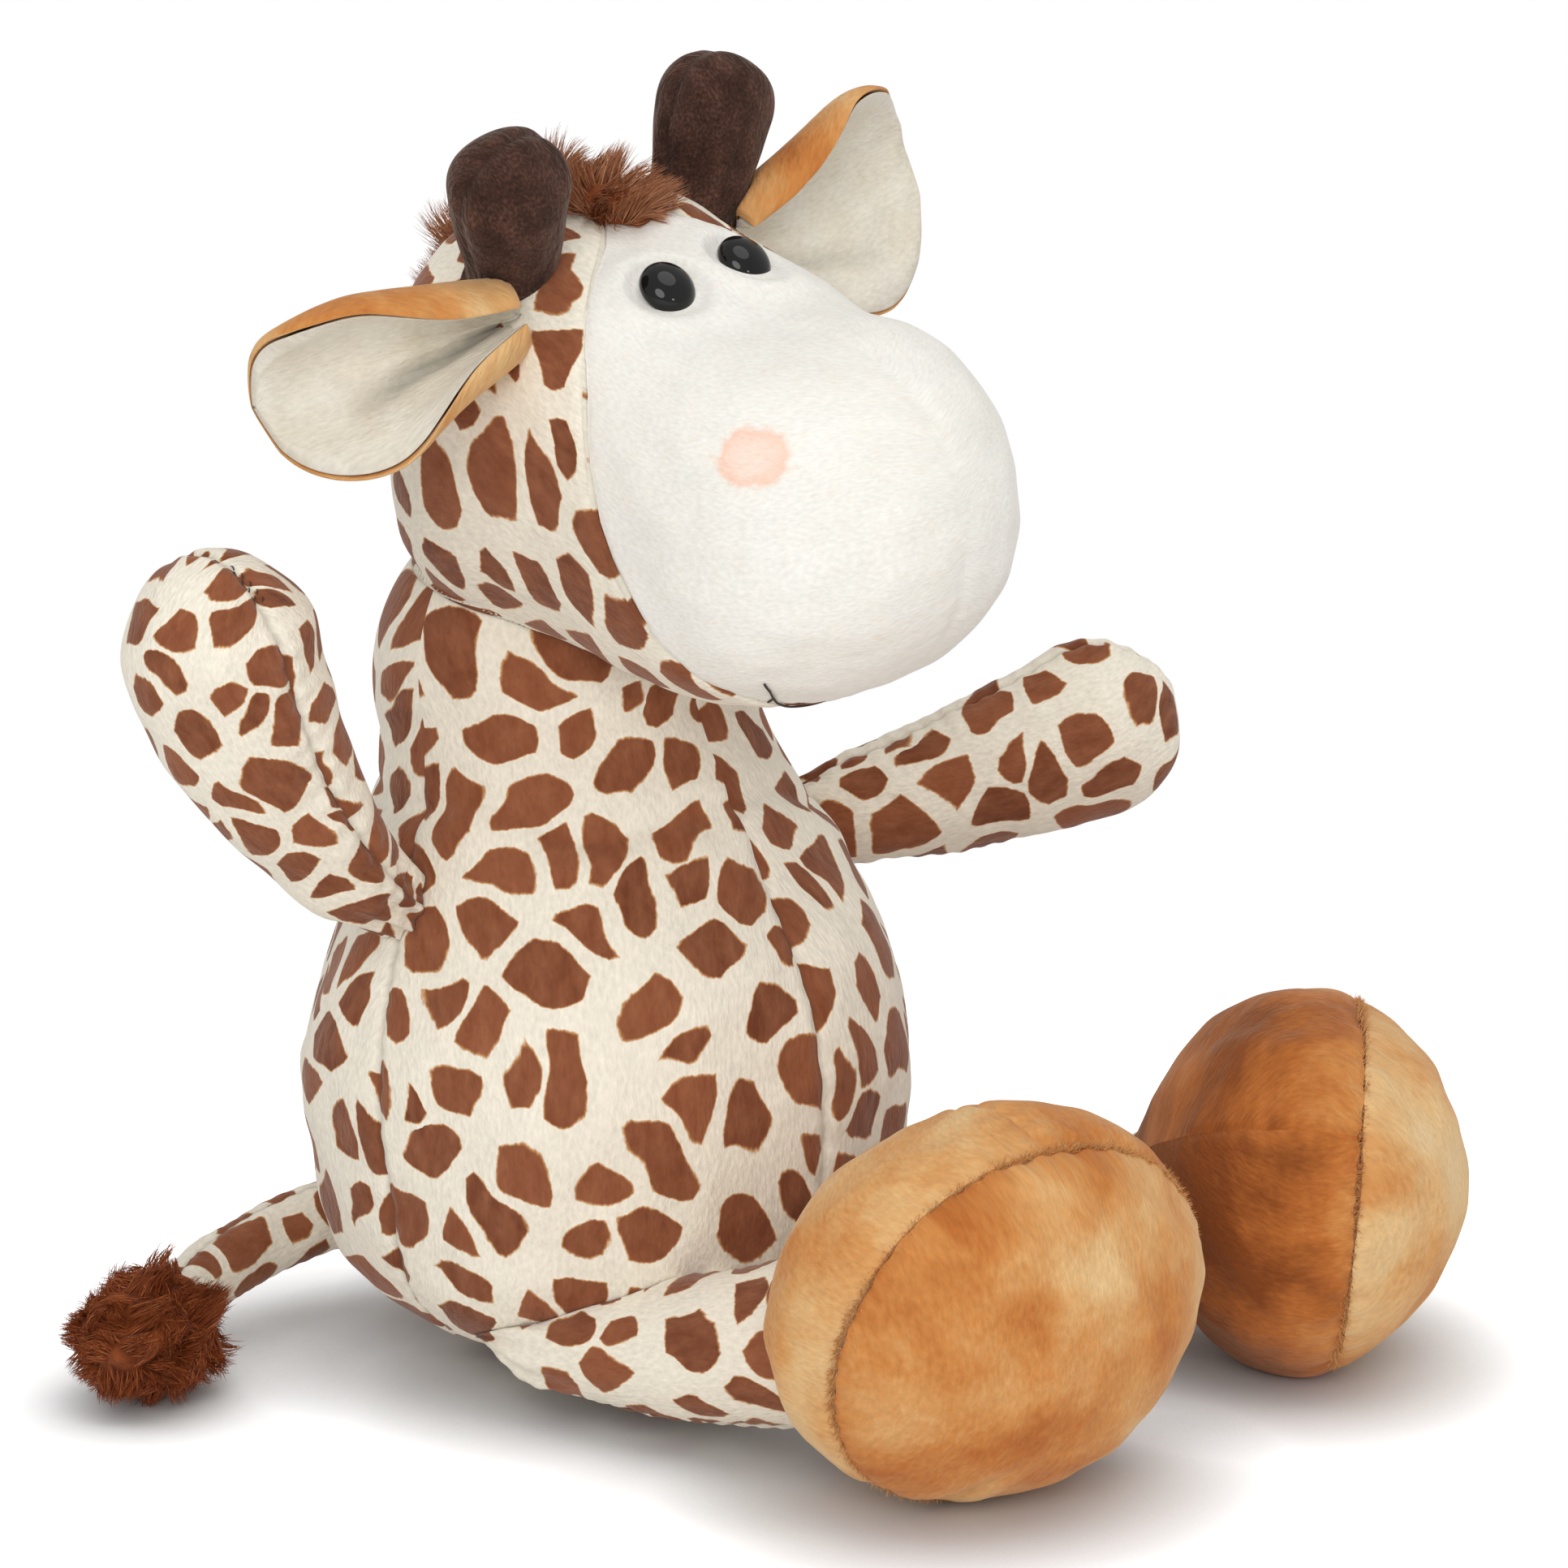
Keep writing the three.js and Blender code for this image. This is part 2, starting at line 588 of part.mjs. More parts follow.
// A leg is a stuffed cone from the hip to the foot, and the foot's domed sole is sewn on in front
function addLeg(name, side) {
  const { legTurn, soleTurn, soleTilt } = POSE[name];
  const hip = bodyForm.skin(
    LEG.hipHeight / bodyTop.z, side < 0 ? Math.PI + rad(LEG.hipAngle) : -rad(LEG.hipAngle));
  const out = FORWARD.clone().applyAxisAngle(UP, rad(legTurn));
  const toFoot = new THREE.Matrix4()
    .makeRotationFromEuler(new THREE.Euler(rad(soleTilt), 0, rad(soleTurn), "ZXY"));
  const lowest = placed(footForm.solid(), toFoot).boundingBox().min[2];
  const ankle = hip.clone().addScaledVector(out, LEG.length).setZ(-lowest - FLOOR_CUT);
  toFoot.setPosition(ankle);
  const leg = new Stuffed({
    path: new THREE.QuadraticBezierCurve3(
      hip.clone().addScaledVector(out, -LEG.root),
      hip.clone().addScaledVector(out, LEG.length / 2).setZ(LEG.hipHeight),
      ankle,
    ),
    wide: new THREE.Vector3(out.y, -out.x, 0),
    width: LEG.width,
    thick: LEG.thick,
    shares: LEG_SHARES,
    startCapShare: LEG.rootCapShare,
    endCapShare: LEG.ankleCapShare,
    rings: 4,
    capRings: 2,
    sides: 14,
  });
  const aboveFoot = leg.solid().subtract(placed(footForm.grown(SEAM_GAP), toFoot)).subtract(UNDER_FLOOR);
  body = body.subtract(ballRound(LEG.root + BALL_GAP, hip, ROOT_SIDES));
  add(name + "_leg", "print", clearOf(aboveFoot, bodyForm.grown(LIMB_GAP), hip, LEG.root));

  const backward = FORWARD.clone().negate();
  const soleSeam = FORWARD.clone().multiplyScalar(FOOT.soleForward);
  const inFrontOfSeam = halfSpace(FORWARD, soleSeam.clone().addScaledVector(backward, SEAM_GAP / 2));
  const behindSeam = halfSpace(backward, soleSeam.clone().addScaledVector(FORWARD, SEAM_GAP / 2));
  for (const [part, cut] of [["upper", inFrontOfSeam], ["sole", behindSeam]]) {
    add(name + "_foot_" + part, "tan", placed(footForm.solid().subtract(cut), toFoot).subtract(UNDER_FLOOR));
  }
}

for (const [name, side] of [["right", -1], ["left", 1]]) {
  addEye(name, side);
  const horn = addHorn(name, side);
  addEar(name, side, horn);
  addArm(name, side);
  addLeg(name, side);
}

// The mane: a strip of fur along the crown and down the back of the head
const mane = new Stuffed({
  path: new THREE.CatmullRomCurve3(evenShares(MANE_STEPS).map((share) =>
    headForm.skin(THREE.MathUtils.lerp(MANE.fromShare, MANE.toShare, share), Math.PI / 2))),
  wide: SIDEWAYS,
  width: MANE.width,
  thick: MANE.height,
  shares: MANE_SHARES,
  startCapShare: MANE.backCapShare,
  endCapShare: MANE.frontCapShare,
  rings: 6,
  capRings: 2,
  sides: 10,
});
add("mane", "fur", placed(largest(mane.solid().subtract(headForm.grown(SEAM_GAP))), toHead));

// The tail: a stuffed tube from the middle of the back, curled to the right along the floor
const tailShare = TAIL.height / bodyTop.z;
const tailRoot = bodyForm.skin(tailShare, Math.PI / 2);
const tailStep = (TAIL.length + TAIL.root) / TAIL.dropShares.length;
const tailPoints = [tailRoot.clone().addScaledVector(FORWARD, TAIL.root)];
evenShares(TAIL.dropShares.length).forEach((share, i) => {
  const turn = rad(THREE.MathUtils.lerp(TAIL.startTurn, TAIL.endTurn, share));
  const step = SIDEWAYS.clone().applyAxisAngle(UP, turn).multiplyScalar(tailStep);
  tailPoints.push(tailPoints.at(-1).clone().add(step).setZ(TAIL.height - TAIL.drop * TAIL.dropShares[i]));
});
const tailForm = new Stuffed({
  path: new THREE.CatmullRomCurve3(tailPoints),
  wide: UP,
  width: TAIL.width,
  thick: TAIL.width,
  shares: TAIL_SHARES,
  startCapShare: TAIL.capShare,
  endCapShare: TAIL.capShare,
  rings: 7,
  capRings: 2,
  sides: 10,
});
body = body.subtract(ballRound(TAIL.root + BALL_GAP, tailRoot, ROOT_SIDES));

// The tuft: a fur bag round the tail's end, lying on the floor
const tuftOut = tailForm.path.getTangentAt(1).setZ(0).normalize();
const tuftStart = tailPoints.at(-1).clone().addScaledVector(tuftOut, -TUFT.grip)
  .setZ(TUFT.height / 2 - FLOOR_CUT);
const tuftForm = new Stuffed({
  path: new THREE.LineCurve3(tuftStart, tuftStart.clone().addScaledVector(tuftOut, TUFT.length)),
  wide: new THREE.Vector3().crossVectors(UP, tuftOut),
  width: TUFT.width,
  thick: TUFT.height,
  shares: TUFT_SHARES,
  startCapShare: TUFT.backCapShare,
  endCapShare: TUFT.endCapShare,
  rings: 2,
  capRings: 3,
  sides: 12,
});
const tailToTuft = tailForm.solid().subtract(tuftForm.grown(SEAM_GAP));
add("tail", "print", clearOf(tailToTuft, behindSkin(bodyForm, tailShare, Math.PI / 2), tailRoot, TAIL.root));
add("tail_tuft", "fur", tuftForm.solid().subtract(UNDER_FLOOR));

add("body", "print", body);
add("head_back", "print", placed(skull, toHead));
add("face", "white", placed(face, toHead));

export default giraffe;
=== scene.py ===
from math import cos, pi, radians, sin, sqrt
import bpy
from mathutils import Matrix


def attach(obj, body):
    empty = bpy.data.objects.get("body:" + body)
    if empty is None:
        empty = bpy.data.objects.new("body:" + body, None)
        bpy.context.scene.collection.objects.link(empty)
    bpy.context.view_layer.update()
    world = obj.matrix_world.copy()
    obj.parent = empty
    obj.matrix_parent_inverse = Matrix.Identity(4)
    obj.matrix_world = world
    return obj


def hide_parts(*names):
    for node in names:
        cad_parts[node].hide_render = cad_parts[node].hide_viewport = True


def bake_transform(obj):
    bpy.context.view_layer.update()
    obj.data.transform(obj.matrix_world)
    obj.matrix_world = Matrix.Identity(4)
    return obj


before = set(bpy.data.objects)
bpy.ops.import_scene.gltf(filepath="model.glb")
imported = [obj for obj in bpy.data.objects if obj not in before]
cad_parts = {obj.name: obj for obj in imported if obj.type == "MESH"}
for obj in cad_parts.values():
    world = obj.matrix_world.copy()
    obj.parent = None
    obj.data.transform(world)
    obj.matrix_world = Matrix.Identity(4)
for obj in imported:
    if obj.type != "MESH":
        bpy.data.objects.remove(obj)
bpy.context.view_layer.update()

from types import SimpleNamespace

import bmesh
import bpy
import numpy as np
from mathutils import Matrix
from mathutils.bvhtree import BVHTree

# ---- Body ----
# The pear-shaped body is one stuffed bag of four gores of short-pile printed velvet, sewn together at the
# front, the back and both sides. Its round top is the neck, on which the head bends, and it is pressed flat
# where it sits on the floor. All forms are worked out in mm and written to the meshes in metres.
neck = np.array((0, 11, 128.0))
neck_ball = 35.5
body_top = np.array((0, 13.2, 149.3))
body_wide, body_deep = 116, 114
body_shares = [[0, .78], [.07, .84], [.15, .91], [.25, .965], [.385, 1], [.49, .95], [.58, .85], [.68, .725],
               [.765, .64], [.85, .6], [1, .56]]
floor_gap = .15


def unit(vectors):
    return vectors / np.maximum(np.linalg.norm(vectors, axis=-1, keepdims=True), 1e-12)


def measured(line):
    """A line of close points with the length to each of them"""
    steps = np.linalg.norm(np.diff(line, axis=0), axis=1)
    return np.concatenate(((0,), np.cumsum(steps))), line


def line_through(points):
    """A smooth line through a few points"""
    points = np.asarray(points, float)
    ends = np.vstack((2 * points[0] - points[1], points, 2 * points[-1] - points[-2]))
    step = np.linspace(0, 1, 60, endpoint=False)[:, None]
    parts = []
    for a, b, c, d in zip(ends, ends[1:], ends[2:], ends[3:]):
        ab, bc, cd = (sqrt(np.linalg.norm(q - p)) for p, q in ((a, b), (b, c), (c, d)))
        leave = ((b - a) / ab - (c - a) / (ab + bc) + (c - b) / bc) * bc
        arrive = ((c - b) / bc - (d - b) / (bc + cd) + (d - c) / cd) * bc
        parts.append(b + leave * step + (3 * (c - b) - 2 * leave - arrive) * step**2
                     + (2 * (b - c) + leave + arrive) * step**3)
    return measured(np.vstack((*parts, points[-1:])))


def between(rows, place):
    """A smooth curve through rows of [place, value, value]"""
    rows = np.array([row if len(row) == 3 else (*row, row[1]) for row in rows], float)
    i = np.clip(np.searchsorted(rows[:, 0], place), 1, len(rows) - 1)
    a, b = rows[i - 1], rows[i]
    before, after = rows[np.maximum(i - 2, 0)], rows[np.minimum(i + 1, len(rows) - 1)]
    span, rise = (b - a)[:, :1], (b - a)[:, 1:]
    share = (place[:, None] - a[:, :1]) / span
    start = (b - before)[:, 1:] / (b - before)[:, :1] * span - rise
    end = (after - a)[:, 1:] / (after - a)[:, :1] * span - rise
    return a[:, 1:] + rise * share + share * (1 - share) * ((1 - share) * start - share * end)


class Stuffed:
    """A stuffed form: sections across a line, each with a width and a thickness, round at both ends"""

    def __init__(self, line, wide, width, thick, shares, caps, power=2.0, square=None):
        self.lengths, self.line = line
        self.wide, self.width, self.thick = np.asarray(wide, float), width, thick
        self.shares, self.caps, self.power, self.square = shares, caps, power, square
        places = (1 - np.cos(np.linspace(0, pi, 1200))) / 2
        radius = between(shares, places).mean(1) * self.rounding(places) * (width + thick) / 4
        steps = np.hypot(np.diff(places) * self.lengths[-1], np.diff(radius))
        self.places, self.over_skin = places, np.concatenate(((0,), np.cumsum(steps)))
        self.girths = 2 * pi * radius

    def at(self, place):
        reach = np.asarray(place) * self.lengths[-1]
        return np.stack([np.interp(reach, self.lengths, column) for column in self.line.T], -1)

    def heading(self, place):
        if self.square is not None:
            return np.broadcast_to(self.square, (len(place), 3))
        return unit(self.at(np.minimum(place + .004, 1)) - self.at(np.maximum(place - .004, 0)))

    def rounding(self, place):
        into = np.maximum(np.maximum(1 - place / self.caps[0], 1 - (1 - place) / self.caps[1]), 0)
        return np.sqrt(np.maximum(1 - into**2, 0))

    def skin(self, place, turn):
        place, turn = np.broadcast_arrays(np.atleast_1d(np.asarray(place, float)), turn)
        ahead = self.heading(place)
        side = unit(self.wide - ahead * (ahead @ self.wide)[:, None])
        over = np.cross(ahead, side)
        size = between(self.shares, place) * self.rounding(place)[:, None] / 2
        right, up = (np.sign(v) * np.abs(v) ** (2 / self.power) for v in (np.cos(turn), np.sin(turn)))
        return (self.at(place) + side * (self.width * size[:, 0] * right)[:, None]
                + over * (self.thick * size[:, 1] * up)[:, None])

    def facing(self, place, turn, step=.01):
        place = np.clip(np.atleast_1d(np.asarray(place, float)), 2 * step, 1 - 2 * step)
        round_it = self.skin(place, turn + step) - self.skin(place, turn - step)
        along = self.skin(place + step, turn) - self.skin(place - step, turn)
        return unit(np.cross(round_it, along))


def vectors(rows, key="co"):
    """The three values that each row of a mesh's data has under a key"""
    flat = np.empty(3 * len(rows), np.float32)
    rows.foreach_get(key, flat)
    return flat.reshape(-1, 3).astype(float)


def put_points(bag):
    bag.mesh.vertices.foreach_set("co", (bag.points * .001).astype(np.float32).ravel())
    bag.mesh.update()


def fill_out(bag, bulk):
    """Moves the fabric of a bag out by its bulk, except where it is closed behind a seam"""
    put_points(bag)
    facing = vectors(bag.mesh.vertex_normals, "vector")
    bag.points += facing * np.where(bag.inside, 0, bulk)[:, None]


def keep_off_floor(points, gap=floor_gap):
    points[:, 2] = np.maximum(points[:, 2], gap)


def ball_mesh(name, around, along):
    ball = bmesh.new()
    bmesh.ops.create_uvsphere(ball, u_segments=around, v_segments=along, radius=1)
    mesh = bpy.data.meshes.new(name)
    ball.to_mesh(mesh)
    ball.free()
    mesh.shade_smooth()
    return mesh


def corners_of(mesh):
    """The point at each corner of each face"""
    corners = np.empty(len(mesh.loops), int)
    mesh.loops.foreach_get("vertex_index", corners)
    return corners


def lay_flat(mesh, flat):
    """Writes the place of each corner on the flat panels, given in mm, as the UV map"""
    uv = mesh.uv_layers.get("panels") or mesh.uv_layers.new(name="panels")
    uv.data.foreach_set("uv", (flat * .001).astype(np.float32).ravel())


def sew_bag(name, form, around, along, seams, first=None, last=None, crowd=.7, seed=1, grain=1.0):
    """A closed bag over a form, from a ball whose poles become its ends. seams are the turns at which its
    panels are sewn together. first and last are functions that give, for each turn, the place of a seam that
    ends the bag, which is closed behind it. Its UV map holds the flat panels, in metres times the grain"""
    mesh = ball_mesh(name, around, along)
    x, y, z = vectors(mesh.vertices).T
    panels = len(seams)
    edges = np.append(seams, seams[0] + 2 * pi)
    raw = np.arctan2(y, x) / (2 * pi) % 1 * panels

    def crowded(share):
        return share - crowd * np.sin(2 * pi * share) / (2 * pi)

    panel = np.floor(raw).astype(int) % panels
    share = crowded(raw - np.floor(raw))
    turn = edges[panel] + (edges[panel + 1] - edges[panel]) * share

    fall = np.arctan2(np.hypot(x, y), -z) / pi
    behind = .14
    low, high = (behind if first else 0), (1 - behind if last else 1)
    fall_inside = np.clip((fall - low) / (high - low), 0, 1)
    none = np.zeros_like(turn)
    start = np.interp(first(turn), form.places, form.over_skin) if first else none
    stop = np.interp(last(turn), form.places, form.over_skin) if last else none + form.over_skin[-1]
    reach = start + (stop - start) * fall_inside
    place = np.interp(reach, form.over_skin, form.places)
    points = form.skin(place, turn)
    for closed, inward in ((fall < low, low - fall), (fall > high, fall - high)):
        if closed.any():
            rim = points[closed]
            middle = rim.mean(0)
            points[closed] = rim + (middle - rim) * (inward[closed] / behind)[:, None]
    width = np.interp(place, form.places, form.girths) * (edges[panel + 1] - edges[panel]) / (2 * pi)
    rim = np.full_like(reach, 1e3)
    sewn_edge = np.zeros(len(fall), bool)
    if first:
        rim = np.minimum(rim, reach - start)
        sewn_edge |= np.abs(fall - fall[fall >= low].min()) < 1e-4
    if last:
        rim = np.minimum(rim, stop - reach)
        sewn_edge |= np.abs(fall - fall[fall <= high].max()) < 1e-4
    ends = np.empty(2 * len(mesh.edges), np.int32)
    mesh.edges.foreach_get("vertices", ends)
    creases = mesh.attributes.new("sharp_edge", "BOOLEAN", "EDGE")
    creases.data.foreach_set("value", sewn_edge[ends.reshape(-1, 2)].all(1))

    loops = corners_of(mesh)
    sizes = np.empty(len(mesh.polygons), int)
    mesh.polygons.foreach_get("loop_total", sizes)
    face = np.repeat(np.arange(len(sizes)), sizes)
    middle_x = np.bincount(face, x[loops]) / sizes
    middle_y = np.bincount(face, y[loops]) / sizes
    face_raw = (np.arctan2(middle_y, middle_x) / (2 * pi) % 1 * panels)[face]
    face_panel = np.floor(face_raw).astype(int) % panels
    across = (raw[loops] - face_panel - .5 + panels / 2) % panels - panels / 2
    pole = np.hypot(x, y)[loops] < 1e-6
    across[pole] = (face_raw - face_panel - .5)[pole]
    across = crowded(np.clip(across + .5, 0, 1)) - .5
    girth = np.interp(place[loops], form.places, form.girths)
    gore = (edges[face_panel + 1] - edges[face_panel]) / (2 * pi)
    shift = np.random.default_rng(seed).uniform(0, 2000, (panels, 2))
    flat = np.stack((across * girth * gore, reach[loops]), -1) * grain + shift[face_panel]
    lay_flat(mesh, flat)
    return SimpleNamespace(mesh=mesh, points=points, place=place, turn=turn, reach=reach, rim=rim,
                           seam=(.5 - np.abs(share - .5)) * width, inside=(fall < low) | (fall > high))


def waves(points, size, seed, count=14):
    """Smooth random ups and downs of about that size, mostly from -1 to 1"""
    random = np.random.default_rng(seed)
    turns = unit(random.normal(size=(count, 3))) * (2 * pi / size) * random.uniform(.6, 1.4, (count, 1))
    return np.sin(points @ turns.T + random.uniform(0, 2 * pi, count)).sum(1) / sqrt(count)


def ridge(distance, width):
    """A smooth ridge, 1 high where the distance is 0"""
    return np.exp(-((distance / width) ** 2))


def drawn_in(distance, reach, depth=.9, width=1.1, pucker=.22, pitch=4.4, seed=0):
    """How a seam draws the fabric in, with the small puckers that run into it, for a distance from it"""
    ripple = np.sin(2 * pi * reach / pitch + 2 * np.sin(reach / 9.7 + seed))
    return -depth * ridge(distance, width) + pucker * ripple * ridge(distance - 1.5, 3.5)


def mark(bag, name, values):
    layer = bag.mesh.attributes.new(name, "FLOAT", "POINT")
    layer.data.foreach_set("value", np.asarray(values, np.float32))


def tree_of(bag):
    faces = [tuple(polygon.vertices) for polygon in bag.mesh.polygons]
    return BVHTree.FromPolygons([tuple(point) for point in bag.points], faces)


def put_in_scene(name, data):
    made = bpy.data.objects.new(name, data)
    bpy.context.scene.collection.objects.link(made)
    return made


def piece(bag, material):
    """The object of a bag's mesh, under the mesh's name"""
    put_points(bag)
    made = put_in_scene(bag.mesh.name, bag.mesh)
    bag.mesh.materials.append(material)
    return made


def srgb(red, green, blue):
    """A colour of 0 to 255 values as the shader takes it"""
    return (*(((v / 255 + .055) / 1.055) ** 2.4 for v in (red, green, blue)), 1)


def feed(tree, node, inputs):
    """Links each input to an output of another node, or sets its value"""
    for socket, source in inputs:
        if isinstance(source, bpy.types.NodeSocket):
            tree.links.new(source, node.inputs[socket])
        else:
            node.inputs[socket].default_value = source


def add_node(tree, kind, inputs=(), **settings):
    node = tree.nodes.new("ShaderNode" + kind)
    for key, value in settings.items():
        setattr(node, key, value)
    feed(tree, node, inputs)
    return node


def new_look(name):
    """A new material with its nodes and its shader"""
    material = bpy.data.materials.new(name)
    material.use_nodes = True
    return material, material.node_tree, material.node_tree.nodes["Principled BSDF"]


def mixed(tree, share, a, b, blend="MIX"):
    return add_node(tree, "Mix", ((0, share), (6, a), (7, b)), data_type="RGBA", blend_type=blend).outputs[2]


def reckon(tree, operation, *values):
    return add_node(tree, "Math", tuple(enumerate(values)), operation=operation).outputs[0]


def ramp(tree, value, stops):
    """Colours that follow a value. A colour of three numbers is one of 0 to 255 values"""
    stops = [(place, srgb(*colour) if len(colour) == 3 else colour) for place, colour in stops]
    node = add_node(tree, "ValToRGB", ((0, value),))
    row = node.color_ramp.elements
    row[0].position, row[0].color = stops[0]
    row[1].position, row[1].color = stops[-1]
    for place, colour in stops[1:-1]:
        row.new(place).color = colour
    return node.outputs[0]


def noise(tree, cloth, size, detail=2.0, stretch=1, offset=0.0, output=0):
    """Noise with grains of about that size in metres. Its output 1 is a colour"""
    scaled = add_node(tree, "Mapping", ((0, cloth), (1, (offset, offset, 0)), (3, (1, stretch, 1))))
    grains = add_node(tree, "TexNoise", (("Vector", scaled.outputs[0]), ("Scale", 1 / size),
                                         ("Detail", detail)))
    return grains.outputs[output]


def velvet(name, paint, pile=.0007, depth=.0003, sheen=.25, tint=(1, .97, .93, 1), seams=True, fleck=.3):
    """Short-pile fabric. paint adds the nodes of its colour and returns the colour"""
    material, tree, shader = new_look(name)
    cloth = add_node(tree, "UVMap", uv_map="panels").outputs[0]
    colour = paint(tree, cloth)
    fibres = noise(tree, cloth, pile, 3, .45)
    brushed = noise(tree, cloth, .006, 2, .5, 3)
    light = reckon(tree, "MULTIPLY_ADD", fibres, fleck, 1 - fleck / 2)
    light = reckon(tree, "MULTIPLY", light, reckon(tree, "MULTIPLY_ADD", brushed, .14, .93))
    # Where seams is set, a mark on each piece darkens the colour: partly the dark line along a seam, and
    # partly painted shade in seam valleys, in the ear lining's crease and in the folds of the gathers at the
    # arms' roots.
    if seams:
        seam_line_and_shade = add_node(tree, "Attribute", attribute_name="seam_line_and_shade").outputs["Fac"]
        light = reckon(tree, "MULTIPLY", light, reckon(tree, "MULTIPLY_ADD", seam_line_and_shade, -.25, 1))
    grey = add_node(tree, "CombineColor", ((0, light), (1, light), (2, light))).outputs[0]
    height = reckon(tree, "MULTIPLY_ADD", brushed, 2.2, fibres)
    bump = add_node(tree, "Bump", (("Strength", .8), ("Distance", depth), ("Height", height))).outputs[0]
    feed(tree, shader, (("Base Color", mixed(tree, 1.0, colour, grey, "MULTIPLY")), ("Normal", bump),
                        ("Roughness", .92), ("Specular IOR Level", .15), ("Sheen Weight", sheen),
                        ("Sheen Roughness", .4), ("Sheen Tint", tint)))
    return material


cream, halo, brown, dark_brown = srgb(240, 232, 215), srgb(198, 144, 90), srgb(140, 81, 52), srgb(112, 61, 38)


def printed(tree, cloth):
    """Brown patches with a soft orange rim on cream, each a rounded polygon of its own size"""
    moved = cloth
    for size, detail, stretch, offset, wander in ((.016, 1, 1, 0, .0115), (.0011, 2, .6, 1, .0008)):
        push = noise(tree, cloth, size, detail, stretch, offset, output=1)
        push = add_node(tree, "VectorMath", ((0, push), (1, (.5, .5, .5))), operation="SUBTRACT").outputs[0]
        moved = add_node(tree, "VectorMath", ((0, push), (1, (wander,) * 3), (2, moved)),
                         operation="MULTIPLY_ADD").outputs[0]
    cells_in_a_metre = 78.0
    setting = (("Vector", moved), ("Scale", cells_in_a_metre), ("Randomness", .95))
    edge = add_node(tree, "TexVoronoi", setting, voronoi_dimensions="2D", feature="DISTANCE_TO_EDGE")
    cell = add_node(tree, "TexVoronoi", setting, voronoi_dimensions="2D", feature="F1")
    size = add_node(tree, "SeparateColor", ((0, cell.outputs["Color"]),))
    margin = reckon(tree, "MULTIPLY_ADD", cell.outputs["Distance"], -.5, edge.outputs[0])
    margin = reckon(tree, "SUBTRACT", margin, reckon(tree, "MULTIPLY_ADD", size.outputs[0], .17, -.118))
    over_rim = reckon(tree, "MULTIPLY_ADD", margin, 5, .5)
    patch = ramp(tree, over_rim, ((0, cream), (.34, cream), (.48, halo), (.64, brown), (1, brown)))
    black, white = (0, 0, 0, 1), (1, 1, 1, 1)
    inked = ramp(tree, over_rim, ((0, black), (.5, black), (.62, white), (1, white)))
    shade = mixed(tree, reckon(tree, "MULTIPLY", inked, size.outputs[1]), patch, dark_brown)
    worn = reckon(tree, "MULTIPLY_ADD", noise(tree, cloth, .0028, 4, .45, 2), 1.3, -.42)
    return mixed(tree, reckon(tree, "MULTIPLY", inked, worn), shade, srgb(166, 108, 77))


body_form = Stuffed(line_through([(0, 0, -.5), (0, 0, 64), neck, body_top]), (1, 0, 0), body_wide, body_deep,
                    body_shares, (.18, .2))
body = sew_bag("body_velvet", body_form, 240, 170, np.radians((0, 90, 180, 270)), seed=3)
from_neck = body.points - neck
deep = np.linalg.norm(from_neck, axis=1) < neck_ball
body.points[deep] = neck + unit(from_neck[deep]) * neck_ball
below_neck = np.clip((neck[2] - 8 - body.points[:, 2]) / 30, 0, 1)
above_seat = np.clip(body.points[:, 2] / 12, 0, 1)
bulk = drawn_in(body.seam, body.reach, .6, 1.3, .2, 5.2) + .9 * (1 - np.exp(-body.seam / 9)) - .9
bulk += .55 * waves(body.points, 34, 1) + .22 * waves(body.points, 13, 2)
folds = body.points[:, 2] - 108 - 3 * waves(body.points * (1, 1, 0), 30, 7)
bulk += -2.6 * ridge(folds, 2.2) + .9 * ridge(folds + 6, 3.5)
fill_out(body, bulk * below_neck * above_seat)
keep_off_floor(body.points)
mark(body, "seam_line_and_shade", ridge(body.seam, .7) * below_neck)
print_velvet = velvet("print_velvet", printed, .0008, .00045, .25, fleck=.42)
cover = piece(body, print_velvet)
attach(cover, "torso")
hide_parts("body")
body_tree = tree_of(body)

# ---- Head: skull and face ----
# The head is a stuffed bag too. Its back is the printed velvet and its face is white velvet, both in two
# halves, sewn together along one seam that leans back over the crown. Its underside is hollowed by the neck.
roll = radians(-10)
to_head = np.array(((cos(roll), 0, sin(roll)), (0, 1, 0), (-sin(roll), 0, cos(roll))))
head_wide, head_high, head_long, head_back = 71, 82, 130, 22
head_shares = [[0, .94, .96], [.2, .98, .97], [.34, 1, 1], [.5, 1, .97], [.62, 1, .925], [.74, 1, .86],
               [.86, 1, .865], [1, .97, .87]]
head_form = Stuffed(line_through([(0, head_back, 42), (0, head_back - .32 * head_long, 52),
                                  (0, head_back - .7 * head_long, 39), (0, head_back - head_long, 39)]),
                    (1, 0, 0), head_wide, head_high, head_shares, (.26, .27), 2.4, np.array((0, -1, 0)))


def on_head(points):
    """Points of the level head where the head is"""
    return points @ to_head.T + neck


def face_seam(turn):
    """Where the face is sewn to the skull, along the head, for the degrees round from its top"""
    from_top = np.degrees(np.abs((turn + pi / 2) % (2 * pi) - pi))
    return between([[0, .385], [10, .455], [27, .506], [54, .562], [72, .586], [88, .6], [97, .623],
                    [110, .659], [130, .723], [155, .765], [180, .78]], from_top)[:, 0]


def drawn_up(points, place, turn):
    """The underside of the head is drawn up toward the muzzle, and evenly all round at its tip"""
    most = 4.6
    at_tip = np.clip((place - .87) / .13, 0, 1)
    at_tip *= at_tip * (3 - 2 * at_tip)
    below = np.clip(.2 - np.sin(turn), 0, 1)
    points[:, 2] += most * np.clip((place - .5) / .32, 0, 1) * (below + (.4 - below) * at_tip)


def mirrored(side, degrees):
    """The turn that is as many degrees up from the left as from the right"""
    return radians(180 - degrees if side < 0 else degrees)


